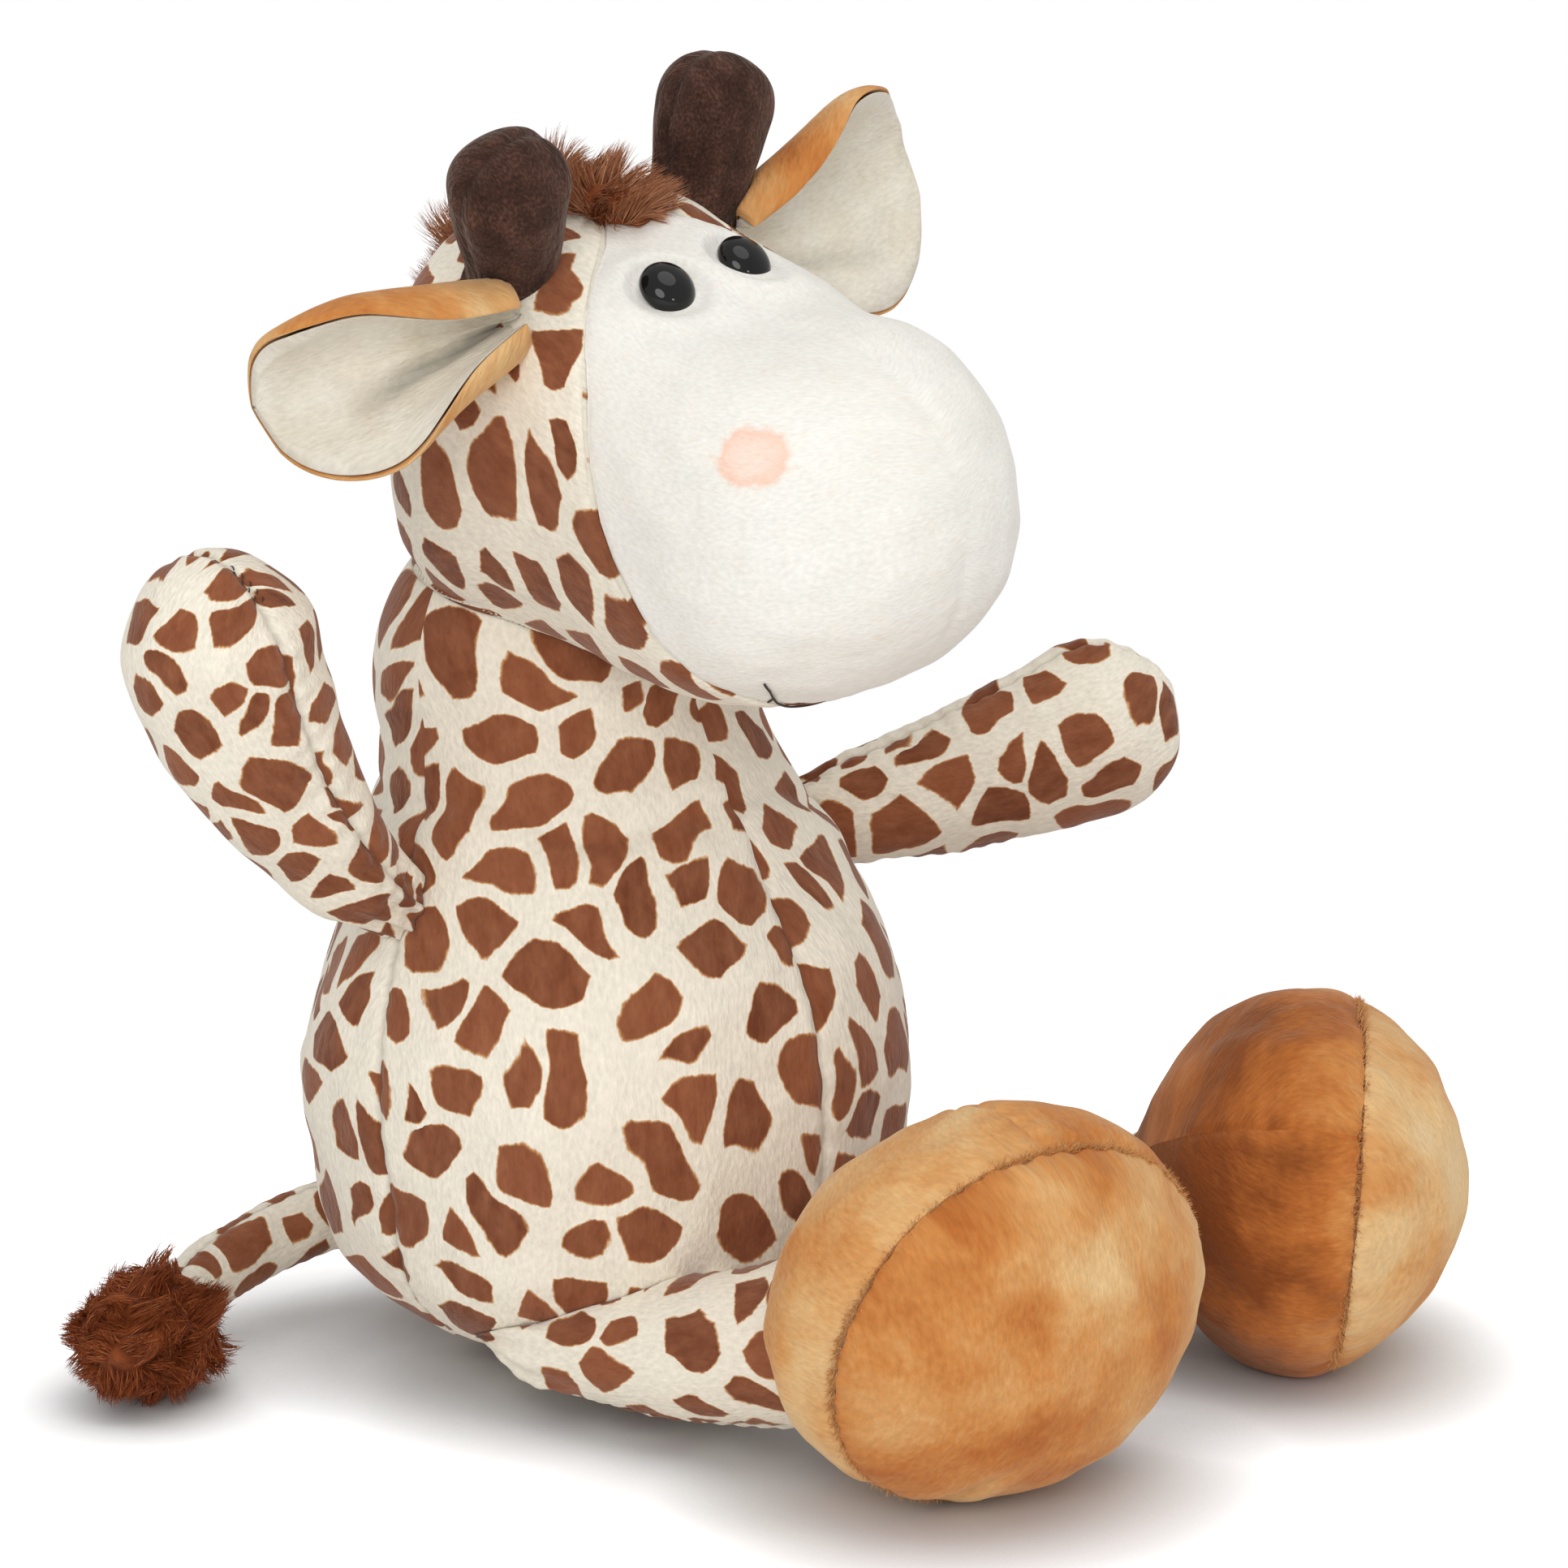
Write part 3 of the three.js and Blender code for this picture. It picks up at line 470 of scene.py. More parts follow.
eye_place, eye_turn, eye_wide, eye_high = .585, 78, 10, 10.5
eye_tilt, eye_swing = .35, .17
eyes = {}
for name, side in (("right", -1), ("left", 1)):
    turn = mirrored(side, eye_turn)
    facing = head_form.facing(eye_place, turn)[0]
    sideways = unit(np.cross((0, 0, 1), facing))
    facing = facing * cos(eye_tilt) - np.cross(facing, sideways) * sin(eye_tilt)
    facing = facing * cos(eye_swing) - side * sideways * sin(eye_swing)
    sideways = unit(np.cross((0, 0, 1), facing))
    eyes[name] = (head_form.skin(eye_place, turn)[0], sideways, np.cross(facing, sideways), facing)


def press_eyes(points):
    """The velvet is pressed in round each eye"""
    for middle, sideways, upright, facing in eyes.values():
        local = points - middle
        off = np.hypot(local @ sideways / (eye_wide / 2), local @ upright / (eye_high / 2))
        height = local @ facing
        near = (off < 3) & (np.abs(height) < 8)
        pressed = np.where(off < 1.06, -1.6, -1.6 * ridge(off - 1.06, .32) + .35 * ridge(off - 1.75, .35))
        points[near] += (pressed * near)[near, None] * facing


def shape_cover(bag, bulk, shift):
    """Shapes the back or the face, hollowed by the neck. What is closed behind its seam moves by the shift"""
    fill_out(bag, bulk)
    bag.points[bag.inside] += (0, shift, 0)
    drawn_up(bag.points, bag.place, bag.turn)
    press_eyes(bag.points)
    hollow = neck_ball + .7
    deep = np.linalg.norm(bag.points, axis=1) < hollow
    bag.points[deep] = unit(bag.points[deep]) * hollow


skull = sew_bag("head_back_velvet", head_form, 200, 150, np.radians((-90, 90)), last=face_seam, seed=5)
bulk = drawn_in(skull.seam, skull.reach, .5, 1.1, .12, 4.4) + .5 * waves(skull.points, 30, 3)
bulk += .18 * waves(skull.points, 12, 4) + drawn_in(skull.rim, skull.turn * 36, .4, 1.2, .1, 4.2)
shape_cover(skull, bulk, .03)
skull.points = on_head(skull.points)
mark(skull, "seam_line_and_shade", np.maximum(ridge(skull.seam, .6), .3 * ridge(skull.rim, .5)))
cover = piece(skull, print_velvet)
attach(cover, "head")
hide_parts("head_back")

face = sew_bag("face_velvet", head_form, 200, 170, np.radians((-90, 90)), first=face_seam, seed=6)
toward_tip = np.clip((face.place - .88) / .06, 0, 1) * np.clip((.998 - face.place) / .03, 0, 1)
bulk = drawn_in(face.seam, face.reach, .4, 1.2, .05, 4.4) * toward_tip
bulk += .45 * waves(face.points, 32, 5) + .15 * waves(face.points, 11, 6)
bulk += drawn_in(face.rim, face.turn * 36, .4, 1.2, .1, 4.2, 1)
shape_cover(face, bulk, -.03)
blush_at = head_form.skin(.843, radians(145))[0]
blush = np.zeros(len(face.points))
for across in (1, -1):
    away = np.linalg.norm((face.points - blush_at * (across, 1, 1)) / (6, 6, 4.6), axis=1)
    blush = np.maximum(blush, np.exp(-.9 * away**4))
mark(face, "blush", blush)
mark(face, "seam_line_and_shade", ridge(face.rim, .5) * .2)
face.points = on_head(face.points)


def white_cloth(tree, cloth):
    """White pile with a blush sprayed on each cheek, stronger at its rim"""
    rosy = add_node(tree, "Attribute", attribute_name="blush").outputs["Fac"]
    patchy = noise(tree, cloth, .0026, 4)
    rosy = reckon(tree, "MULTIPLY_ADD", reckon(tree, "SUBTRACT", patchy, .5), .95, rosy)
    warm = ramp(tree, rosy, ((0, (242, 240, 234)), (.18, (242, 238, 230)), (.5, (247, 208, 188)),
                             (.8, (246, 216, 200)), (1, (247, 222, 208))))
    broad = noise(tree, cloth, .03, 1)
    return mixed(tree, reckon(tree, "MULTIPLY", broad, .3), warm, srgb(236, 228, 212), "MULTIPLY")


white_velvet = velvet("white_velvet", white_cloth, .0006, .0002, .2)
cover = piece(face, white_velvet)
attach(cover, "head")
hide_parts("face")


def threads(name, lines, thick, roundness, taper=None):
    """The mesh of round threads along lines in mm. taper gives the share of the thickness at each point"""
    curve = bpy.data.curves.new(name, "CURVE")
    curve.dimensions, curve.bevel_depth, curve.use_fill_caps = "3D", .001 * thick, True
    curve.bevel_resolution = roundness
    for line in lines:
        spline = curve.splines.new("POLY")
        spline.points.add(len(line) - 1)
        spline.points.foreach_set("co", [v for point in line for v in (*point * .001, 1)])
        if taper:
            spline.points.foreach_set("radius", taper)
    holder = put_in_scene(name, curve)
    mesh = bpy.data.meshes.new_from_object(holder)
    bpy.data.objects.remove(holder)
    mesh.materials.clear()
    mesh.name = name
    return SimpleNamespace(mesh=mesh, points=vectors(mesh.vertices) * 1000)


def stitch(name, places, turns, thick):
    """A thread stitched along the face, through places and turns on the head"""
    at = np.linspace(0, 1, 8 * len(places))
    where = [np.interp(at, np.linspace(0, 1, len(places)), values) for values in (places, np.radians(turns))]
    line = head_form.skin(*where) + head_form.facing(*where) * .15
    drawn_up(line, *where)
    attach(piece(threads(name, [on_head(line)], thick, 1), mouth_thread), "head")


mouth_thread, tree, shader = new_look("mouth_thread")
twist = noise(tree, add_node(tree, "TexCoord").outputs["Object"], .0006)
feed(tree, shader, (("Base Color", ramp(tree, twist, ((.3, (34, 24, 20)), (.7, (74, 54, 45))))),
                    ("Roughness", .6)))
stitch("mouth_line.001", [.805, .7975, .784, .7735, .758, .75, .758, .7735, .784, .7975, .805],
       [222.4, 228.4, 234.4, 239, 248, 270, 292, 301, 305.6, 311.6, 317.6], .22)
for name, side in (("right", -1), ("left", 1)):
    stitch(name + "_mouth_tick.001", [.7645, .784], [270 + 32.8 * side, 270 + 35.6 * side], .2)
whole_head = sew_bag("whole_head", head_form, 120, 90, np.radians((-90, 90)))
whole_head.points = on_head(whole_head.points)
head_tree = tree_of(whole_head)
bpy.data.meshes.remove(whole_head.mesh)

# ---- Eyes ----
# Oval safety eyes of gloss black plastic, domed, with a thin flat rim and a post that goes through the
# velvet. A washer pressed on the post inside the head holds each one. The washers are the frame's own.
eye_dome, eye_sunk = 3.3, .9
eye_gloss, tree, shader = new_look("eye_plastic")
on_eye = add_node(tree, "TexCoord").outputs["Object"]
cast = ramp(tree, noise(tree, on_eye, .004), ((0, (.004, .004, .004, 1)), (1, (.012, .012, .011, 1))))
feed(tree, shader, (("Base Color", cast), ("Specular IOR Level", .35),
                    ("Roughness", reckon(tree, "MULTIPLY_ADD", noise(tree, on_eye, .0009, 3), .05, .04))))


def placed(axes, place):
    """The matrix of three axes, which are columns, and a place"""
    return Matrix([(*axes[i], place[i]) for i in range(3)] + [(0, 0, 0, 1)])


for name, (middle, sideways, upright, facing) in eyes.items():
    ball = bmesh.new()
    bmesh.ops.create_uvsphere(ball, u_segments=64, v_segments=32, radius=1)
    base = [vertex for vertex in ball.verts if vertex.co.z < -.001]
    bmesh.ops.delete(ball, geom=base, context="VERTS")
    rim = [edge for edge in ball.edges if edge.is_boundary]
    for scale, sink in ((1.0, .14), (.93, .2), (.38, .2), (.38, 3.8), (.3, 3.95)):
        wall = bmesh.ops.extrude_edge_only(ball, edges=rim)["geom"]
        rim = [part for part in wall if isinstance(part, bmesh.types.BMEdge)]
        for vertex in {corner for edge in rim for corner in edge.verts}:
            flat = np.hypot(vertex.co.x, vertex.co.y)
            vertex.co = (vertex.co.x / flat * scale, vertex.co.y / flat * scale, -sink)
    bmesh.ops.contextual_create(ball, geom=rim)
    bmesh.ops.recalc_face_normals(ball, faces=ball.faces[:])
    turn = np.column_stack((sideways * eye_wide / 2, upright * eye_high / 2, facing * eye_dome))
    turn, move = to_head @ turn, to_head @ (middle - facing * eye_sunk) + neck
    ball.transform(placed(turn * .001, move * .001))
    mesh = bpy.data.meshes.new(name + "_eye_dome")
    ball.to_mesh(mesh)
    ball.free()
    mesh.shade_smooth()
    mesh.materials.append(eye_gloss)
    eye = put_in_scene(name + "_eye_dome", mesh)
    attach(eye, "head")
    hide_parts(name + "_eye")

washer_plastic, tree, shader = new_look("washer_plastic")
cloudy = noise(tree, add_node(tree, "TexCoord").outputs["Object"], .003)
feed(tree, shader, (("Base Color", ramp(tree, cloudy, ((.3, (208, 208, 203)), (.7, (222, 222, 218))))),
                    ("Roughness", .45)))
for name in eyes:
    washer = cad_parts[name + "_eye_washer"].data
    washer.materials.clear()
    washer.materials.append(washer_plastic)

# ---- Horns ----
# Two short stuffed tubes of dark brown velvet with fuller, rounded tops, each of two halves with a seam down
# both sides. They are sewn on the crown and lean apart.

horn_wide, horn_deep, horn_long, horn_sunk = 21.5, 20.5, 38, 10


def nearest_skin(point, tree):
    """The nearest place on another piece, which way it faces there, and the height of the point over it"""
    near, facing, _, _ = tree.find_nearest(tuple(point))
    return near, facing, sum((point[i] - near[i]) * facing[i] for i in range(3))


def push_out(points, tree, gap):
    """Moves what is inside another piece, or nearer to it than the gap, out to its skin"""
    for i, point in enumerate(points):
        near, facing, height = nearest_skin(point, tree)
        if height < gap:
            points[i] = near + facing * gap


def horn_cloth(tree, cloth):
    """Dark pile with lighter flecks where it is rubbed"""
    rubbed = noise(tree, cloth, .0045, 4, .7)
    flecks = noise(tree, cloth, .00055, 3, .8, 4)
    pile = reckon(tree, "MULTIPLY_ADD", reckon(tree, "SUBTRACT", flecks, .5), 1.1, rubbed)
    return ramp(tree, pile, ((.2, (44, 27, 21)), (.5, (65, 42, 34)), (.8, (93, 64, 53)), (1, (132, 100, 86))))


horn_velvet = velvet("horn_velvet", horn_cloth, .001, .0007, .3, (.8, .62, .52, 1), fleck=.5)
horns = {}
for name, side, ahead, out in (("right", -1, 26, 16), ("left", 1, 4, 24)):
    tilt, lean = radians(ahead), radians(side * out)
    up = np.array((sin(lean), -sin(tilt) * cos(lean), cos(tilt) * cos(lean)))
    foot = head_form.skin(.385, mirrored(side, 55))[0] - up * horn_sunk
    form = Stuffed(measured(np.linspace(foot, foot + up * horn_long, 40)), (1, 0, 0), horn_wide, horn_deep,
                   [[0, .7, .7], [.35, .76, .76], [.6, .95, .95], [.78, 1, 1], [1, .96, .96]], (.1, .28))
    horn = sew_bag(name + "_horn_velvet", form, 96, 90, (0, pi), seed=8 + side)
    bulk = drawn_in(horn.seam, horn.reach, .55, 1.6, .05, 3.6) + .35 * waves(horn.points, 14, 9 + side) + .4
    fill_out(horn, bulk)
    horn.points = on_head(horn.points)
    horns[name] = tree_of(horn)
    push_out(horn.points, head_tree, .15)
    mark(horn, "seam_line_and_shade", ridge(horn.seam, .6))
    cover = piece(horn, horn_velvet)
    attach(cover, "head")
    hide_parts(name + "_horn")

# ---- Ears ----
# Each ear is a leaf of two layers, a tan velvet back that shows as a rim and a cream lining, sewn round the
# edge and rolled together at the root, where the skull's fabric takes it in.


def tan_cloth(tree, cloth):
    """Tan pile, darker and more orange where it has been brushed the other way, and made lighter or darker by
    a mark on each piece, which on the far foot's upper is painted shade
    """
    swirl = noise(tree, cloth, .012, output=1)
    swirl = add_node(tree, "VectorMath", ((0, swirl), (1, (.01,) * 3), (2, cloth)), operation="MULTIPLY_ADD")
    brushed = noise(tree, swirl.outputs[0], .024, 2.5, 1, 5)
    streaks = noise(tree, cloth, .001, 3, .4, 2)
    value = reckon(tree, "MULTIPLY_ADD", reckon(tree, "SUBTRACT", streaks, .5), .2, brushed)
    value = reckon(tree, "ADD", value, add_node(tree, "Attribute", attribute_name="nap_and_shade").outputs["Fac"])
    return ramp(tree, value, ((.12, (140, 76, 34)), (.3, (184, 108, 50)), (.43, (202, 134, 72)),
                              (.55, (213, 157, 98)), (.7, (224, 184, 130)), (.85, (228, 198, 152))))


def lining_cloth(tree, cloth):
    return ramp(tree, noise(tree, cloth, .011), ((.3, (219, 210, 191)), (.7, (228, 221, 208))))


tan_velvet = velvet("tan_velvet", tan_cloth, .0008, .0005, .25, (1, .85, .65, 1), False, .4)
lining_velvet = velvet("lining_velvet", lining_cloth, .0008, .0004, .2, fleck=.36)
ear_rolls = {"right": [[0, .92, .92], [.3, .86, .78], [.6, .69, .47], [.85, .56, .32], [1, .3, .2]],
             "left": [[0, .92, .67], [.3, .78, .28], [.6, .56, .14], [.85, .46, .1], [1, .3, .08]]}


def turned(vector, axis, degrees):
    """A vector turned about an axis"""
    angle = radians(degrees)
    return (vector * cos(angle) + np.cross(axis, vector) * sin(angle)
            + axis * (axis @ vector) * (1 - cos(angle)))


upright = np.array((0, 0, 1.0))
to_widest, past_widest = .56, .44
for name, side, backward, lift, twist, half, long, crease_at, puff in (
        ("right", -1, 22, -7, -12, 23, 49, .2, 1), ("left", 1, -3, 7, -14, 24.6, 47.6, .5, .45)):
    root = head_form.skin(.4, mirrored(side, 38))[0]
    front = turned(np.array((0, -1.0, 0)), upright, side * backward)
    out = turned(np.array((side, 0, 0.0)), upright, side * backward)
    out = turned(out, front, side * lift)
    front = turned(front, out, side * twist)
    axes = np.column_stack((front, np.cross(out, front), out))
    for layer, low, high, edge in (("back", -2.75, -.15, 1.0), ("lining", .15, 2.55, .985)):
        mesh = ball_mesh(name + "_ear_" + layer + "_velvet", 112, 96)
        x, y, z = vectors(mesh.vertices).T
        share = (1 - np.cos(np.arctan2(np.hypot(x, y), -z))) / 2
        around = np.arctan2(y, x)
        across = np.sin(np.pi / 2 * np.cos(around)) * edge
        to_root = np.maximum(1 - share / to_widest, 0)
        to_tip = np.maximum((share - to_widest) / past_widest, 0)
        width = np.where(share < to_widest, 1 - .5 * to_root**2,
                         np.sqrt(np.maximum(1 - (1 - .14**2) * to_tip**2, 0)))
        roll_shares = between(ear_rolls[name], share)
        fold = np.pi * np.where(across * side < 0, roll_shares[:, 0], roll_shares[:, 1])
        radius = half * width / fold
        ends = np.sqrt(np.clip(share / .02, 0, 1) * np.clip((1 - share) / .03, 0, 1))
        pillow = np.sqrt(np.maximum(1 - np.abs(across / edge) ** 4, 0)) * -np.sign(np.sin(around))
        thin = np.sqrt(np.clip(np.minimum(share, 1 - share) / .06, 0, 1))
        depth = (low + high) / 2 + (high - low) / 2 * pillow * thin
        at_edge = np.clip((np.abs(across) - .8) / .2, 0, 1) ** 2
        if layer == "back":
            depth += .5 * at_edge
        else:
            from_crease = side * across - crease_at
            from_crease += -.5 * np.maximum(share - .4, 0) + .5 * np.maximum(.3 - share, 0)
            fading = np.clip((.8 - share) / .4, 0, 1)
            groove = ridge(from_crease, .085) * np.clip((.72 - share) / .3, 0, 1) * (pillow > 0)
            roll, lower = ridge(from_crease + .24, .17) * fading, ridge(from_crease - .26, .18) * fading
            depth += puff * np.clip(pillow, 0, 1) * (3.2 * roll + .8 * lower - 2.1 * groove) - 1.7 * at_edge
        angle = across * fold * ends
        reach = radius - depth
        local = np.stack((radius - reach * np.cos(angle), reach * np.sin(angle), long * share - 3.1), -1)
        points = local @ axes.T + root
        soft = .35 * waves(points, 18, 20 + side) + .15 * waves(points, 7, 22 + side)
        ear = SimpleNamespace(mesh=mesh, points=on_head(points + np.outer(soft * thin, front)))
        push_out(ear.points, head_tree, .15 if layer == "back" else .4)
        push_out(ear.points, horns[name], .3 if layer == "back" else .6)
        flat = np.stack((half * width * across + np.sign(y) * 60 + 200 * side, long * share), -1)
        lay_flat(mesh, flat[corners_of(mesh)])
        if layer == "back":
            # The near ear's back is made a little lighter than the far ear's.
            mark(ear, "nap_and_shade", np.full(len(x), .08 if name == "right" else -.02))
            cover = piece(ear, tan_velvet)
        else:
            # Painted shade in the lining's crease, and a darker line along its edge, where it is sewn to the
            # back.
            mark(ear, "seam_line_and_shade", np.maximum(2 * puff * groove, .4 * at_edge))
            cover = piece(ear, lining_velvet)
        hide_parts(name + "_ear_" + layer)
        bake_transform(cover)

# ---- Mane ----
# A strip of long-pile brown fur sewn along the crown and down the back of the head. It is combed over to the
# left, and on the right the pile stands out on its own.
mane_wide, mane_high = 13, 8


def fur_cloth(tree, cloth):
    return ramp(tree, noise(tree, cloth, .004, 3), ((.3, (96, 44, 20)), (.7, (146, 76, 40))))


fur_backing = velvet("fur_backing", fur_cloth, .0008, .0006, .1, seams=False)


def strand_look(name, stops):
    """Fibres that are lighter toward their tips, each in its own shade"""
    material, tree, shader = new_look(name)
    to_end = add_node(tree, "Attribute", attribute_name="to_tip").outputs["Fac"]
    own = add_node(tree, "Attribute", attribute_name="strand").outputs["Fac"]
    shade = reckon(tree, "MULTIPLY_ADD", own, .55, reckon(tree, "MULTIPLY", to_end, .45))
    feed(tree, shader, (("Base Color", ramp(tree, shade, stops)), ("Roughness", .6),
                        ("Specular IOR Level", .3)))
    return material


mane_fur = strand_look("mane_fur", ((0, (118, 66, 40)), (.35, (158, 98, 64)), (.7, (194, 134, 94)),
                                    (1, (218, 168, 130))))


def fur(name, roots, tips, bow, thick, seed):
    """Tapered strands from roots to tips in mm, each bowed by a vector half way along"""
    places = (0, .35, .7, 1)
    lines = [[root + (tip - root) * s + bend * 4 * s * (1 - s) for s in places]
             for root, tip, bend in zip(roots, tips, bow)]
    strands = threads(name, lines, 1, 0, [thick, thick * .85, thick * .55, thick * .12])
    each = len(strands.points) // len(roots)
    random = np.random.default_rng(seed)
    mark(strands, "strand", np.repeat(random.uniform(0, 1, len(roots)), each))
    mark(strands, "to_tip", np.tile(np.repeat(places, each // len(places)), len(roots)))
    return strands


def matted(roots, tips, locks, hold):
    """Draws the tips toward those of the nearest of a few leading strands"""
    leader = np.linalg.norm(roots[:, None] - roots[None, :locks], axis=2).argmin(1)
    return tips + (tips[leader] - tips) * hold


mane_line = [head_form.skin(.05 + (.47 - .05) * share, pi / 2)[0] for share in np.linspace(0, 1, 6)]
mane_form = Stuffed(line_through(mane_line), (1, 0, 0), mane_wide, mane_high,
                    [[0, .7, .6], [.4, .9, .8], [.8, 1, 1], [1, 1, 1]], (.12, .16))
mane = sew_bag("mane_backing", mane_form, 48, 90, (0, pi), seed=12)
fill_out(mane, .4 * waves(mane.points, 6, 31))
mane.points = on_head(mane.points)
push_out(mane.points, head_tree, .2)
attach(piece(mane, fur_backing), "head")
random = np.random.default_rng(40)
count = 6800
place, turn = random.uniform(.01, .99, count), random.uniform(-.15, pi + .15, count)
roots, facing = mane_form.skin(place, turn), mane_form.facing(place, turn)
lock = waves(roots, 7, 33)[:, None]
to_right = ((1 - np.cos(turn)) / 2)[:, None]
comb = unit(facing * (.36 + .6 * to_right) + (1 - .9 * to_right) * (.8, 0, 0) + np.array((0, -.35, .05))
            + lock * np.array((.3, .4, .3)) + random.normal(size=(count, 3)) * .15)
length = random.uniform(3.5, 7.5, count)[:, None] * (1 + .35 * lock)
tips = matted(roots, roots + comb * length, 90, .35)
bow = facing * length * random.uniform(.02, .14, (count, 1))
strands = fur("mane_strands", on_head(roots - facing * .6), on_head(tips), bow @ to_head.T, .085, 41)
push_out(strands.points, head_tree, .1)
cover = piece(strands, mane_fur)
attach(cover, "head")
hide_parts("mane")

# ---- Arms ----
# Each arm is a stuffed bag of two printed panels, wide and round at its end, gathered at the root where the
# body's side seam takes it in. The right arm is raised and the left one is held out.
arm_long, arm_wide, arm_deep, arm_sunk = 86, 36, 29, 6.6
right_arm_seam = 278
arm_shares = [[0, .33, .39], [.09, .35, .42], [.25, .56, .64], [.45, .74, .8], [.65, .9, .93], [.82, 1, 1],
              [1, .97, .97]]


def about_z(degrees):
    """The matrix of a turn about the upright axis"""
    turn = radians(degrees)
    return np.array(((cos(turn), -sin(turn), 0), (sin(turn), cos(turn), 0), (0, 0, 1)))


def sewn_to(bag, tree, reach):
    """Draws the root of a limb onto the skin that it is sewn to"""
    for i in np.flatnonzero(bag.place < reach):
        near, facing, _ = nearest_skin(bag.points[i], tree)
        bag.points[i] += (np.array(near + facing * .3) - bag.points[i]) * (1 - bag.place[i] / reach) ** 1.5


for name, side, raised, bend, forward in (("right", -1, 55, 42, 3), ("left", 1, 15, 18, 32)):
    shoulder = body_form.skin(.62, mirrored(side, 0))[0]
    turns = np.radians(raised + bend * (np.linspace(0, 1, 5) - .5))
    headings = np.stack((np.cos(turns), 0 * turns, np.sin(turns)), -1)
    sunk = headings[:1] * -arm_sunk
    route = np.vstack((sunk, sunk + np.cumsum(headings * ((arm_long + arm_sunk) / 5), axis=0)))
    route = route * (side, 1, 1) @ about_z(-side * forward).T + shoulder
    tip_over = radians(-side * raised)
    form = Stuffed(line_through(route), (sin(tip_over), 0, cos(tip_over)), arm_wide, arm_deep,
                   arm_shares, (.06, .2))
    arm = sew_bag(name + "_arm_velvet", form, 144, 140,
                  np.radians((98, right_arm_seam) if side < 0 else (0, 180)),
                  seed=14 + side, grain=1.3 if side < 0 else 1.05)
    gather = ridge(arm.place - .1, .1)
    pleats = np.cos(arm.turn * 9 + 1.5 * np.sin(arm.turn * 2 + side)) * .9 * gather
    bulk = drawn_in(arm.seam, arm.reach, .9, 1.1, .22, 4.6, side) + pleats
    soft = .45 * waves(arm.points, 24, 50 + side) + .18 * waves(arm.points, 10, 52)
    fill_out(arm, bulk + soft * np.clip(arm.place / .2, 0, 1))
    sewn_to(arm, body_tree, .08)
    push_out(arm.points, body_tree, .25)
    # The seam line, and painted shade in the folds between the gathers at the root.
    mark(arm, "seam_line_and_shade", np.maximum(ridge(arm.seam, .6), .5 * gather * (np.cos(arm.turn * 9) < -.5)))
    cover = piece(arm, print_velvet)
    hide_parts(name + "_arm")
    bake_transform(cover)

    if side < 0:
        place = np.linspace(.915, .975, 9)
        turn = radians(right_arm_seam) + .05 * (-1.0) ** np.arange(9)
        roots, tips = form.skin(place, turn), form.skin(place + .007, turn + .04)
        over = form.facing(place, turn)
        closing = fur("right_arm_stitches", roots - over * .8, tips - over * .8, over * .45, .17, 58)
        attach(piece(closing, mouth_thread), "right_arm")

# ---- Legs and feet ----
# A leg is a printed stuffed cone from the hip to the back of its foot. The foot is a big egg of tan velvet:
# an upper with a seam down its middle, and a domed sole sewn on in front. The feet stand on their heels.
leg_long, leg_wide, leg_deep, leg_sunk = 93, 37, 33, 7
foot_wide, foot_high, foot_deep = 85, 70.5, 62
sole_place = .5 + 8.5 / foot_deep
leg_shares = [[0, .36, .38], [.1, .42, .44], [.3, .66, .66], [.55, .86, .88], [.8, 1, 1], [1, 1, 1]]
foot_form = Stuffed(measured(np.linspace((0, foot_deep / 2, 0), (0, -foot_deep / 2, 0), 60)), (1, 0, 0),
                    foot_wide, foot_high, [[0, .94, .94], [.5, 1, 1], [1, .94, .94]], (.5, .5))
tan_pile = strand_look("tan_pile", ((0, (192, 122, 60)), (.5, (214, 158, 98)), (1, (232, 194, 140))))


def sole_seam(turn):
    """Where the sole is sewn to the upper, along the foot"""
    return np.full_like(turn, sole_place)


def cut_back(points, tree, along):
    """Moves what is inside another piece back along a direction, out to its skin"""
    for i, point in enumerate(points):
        if nearest_skin(point, tree)[2] < 0:
            hit = tree.ray_cast(tuple(point), tuple(-along))[0]
            if hit:
                points[i] = hit


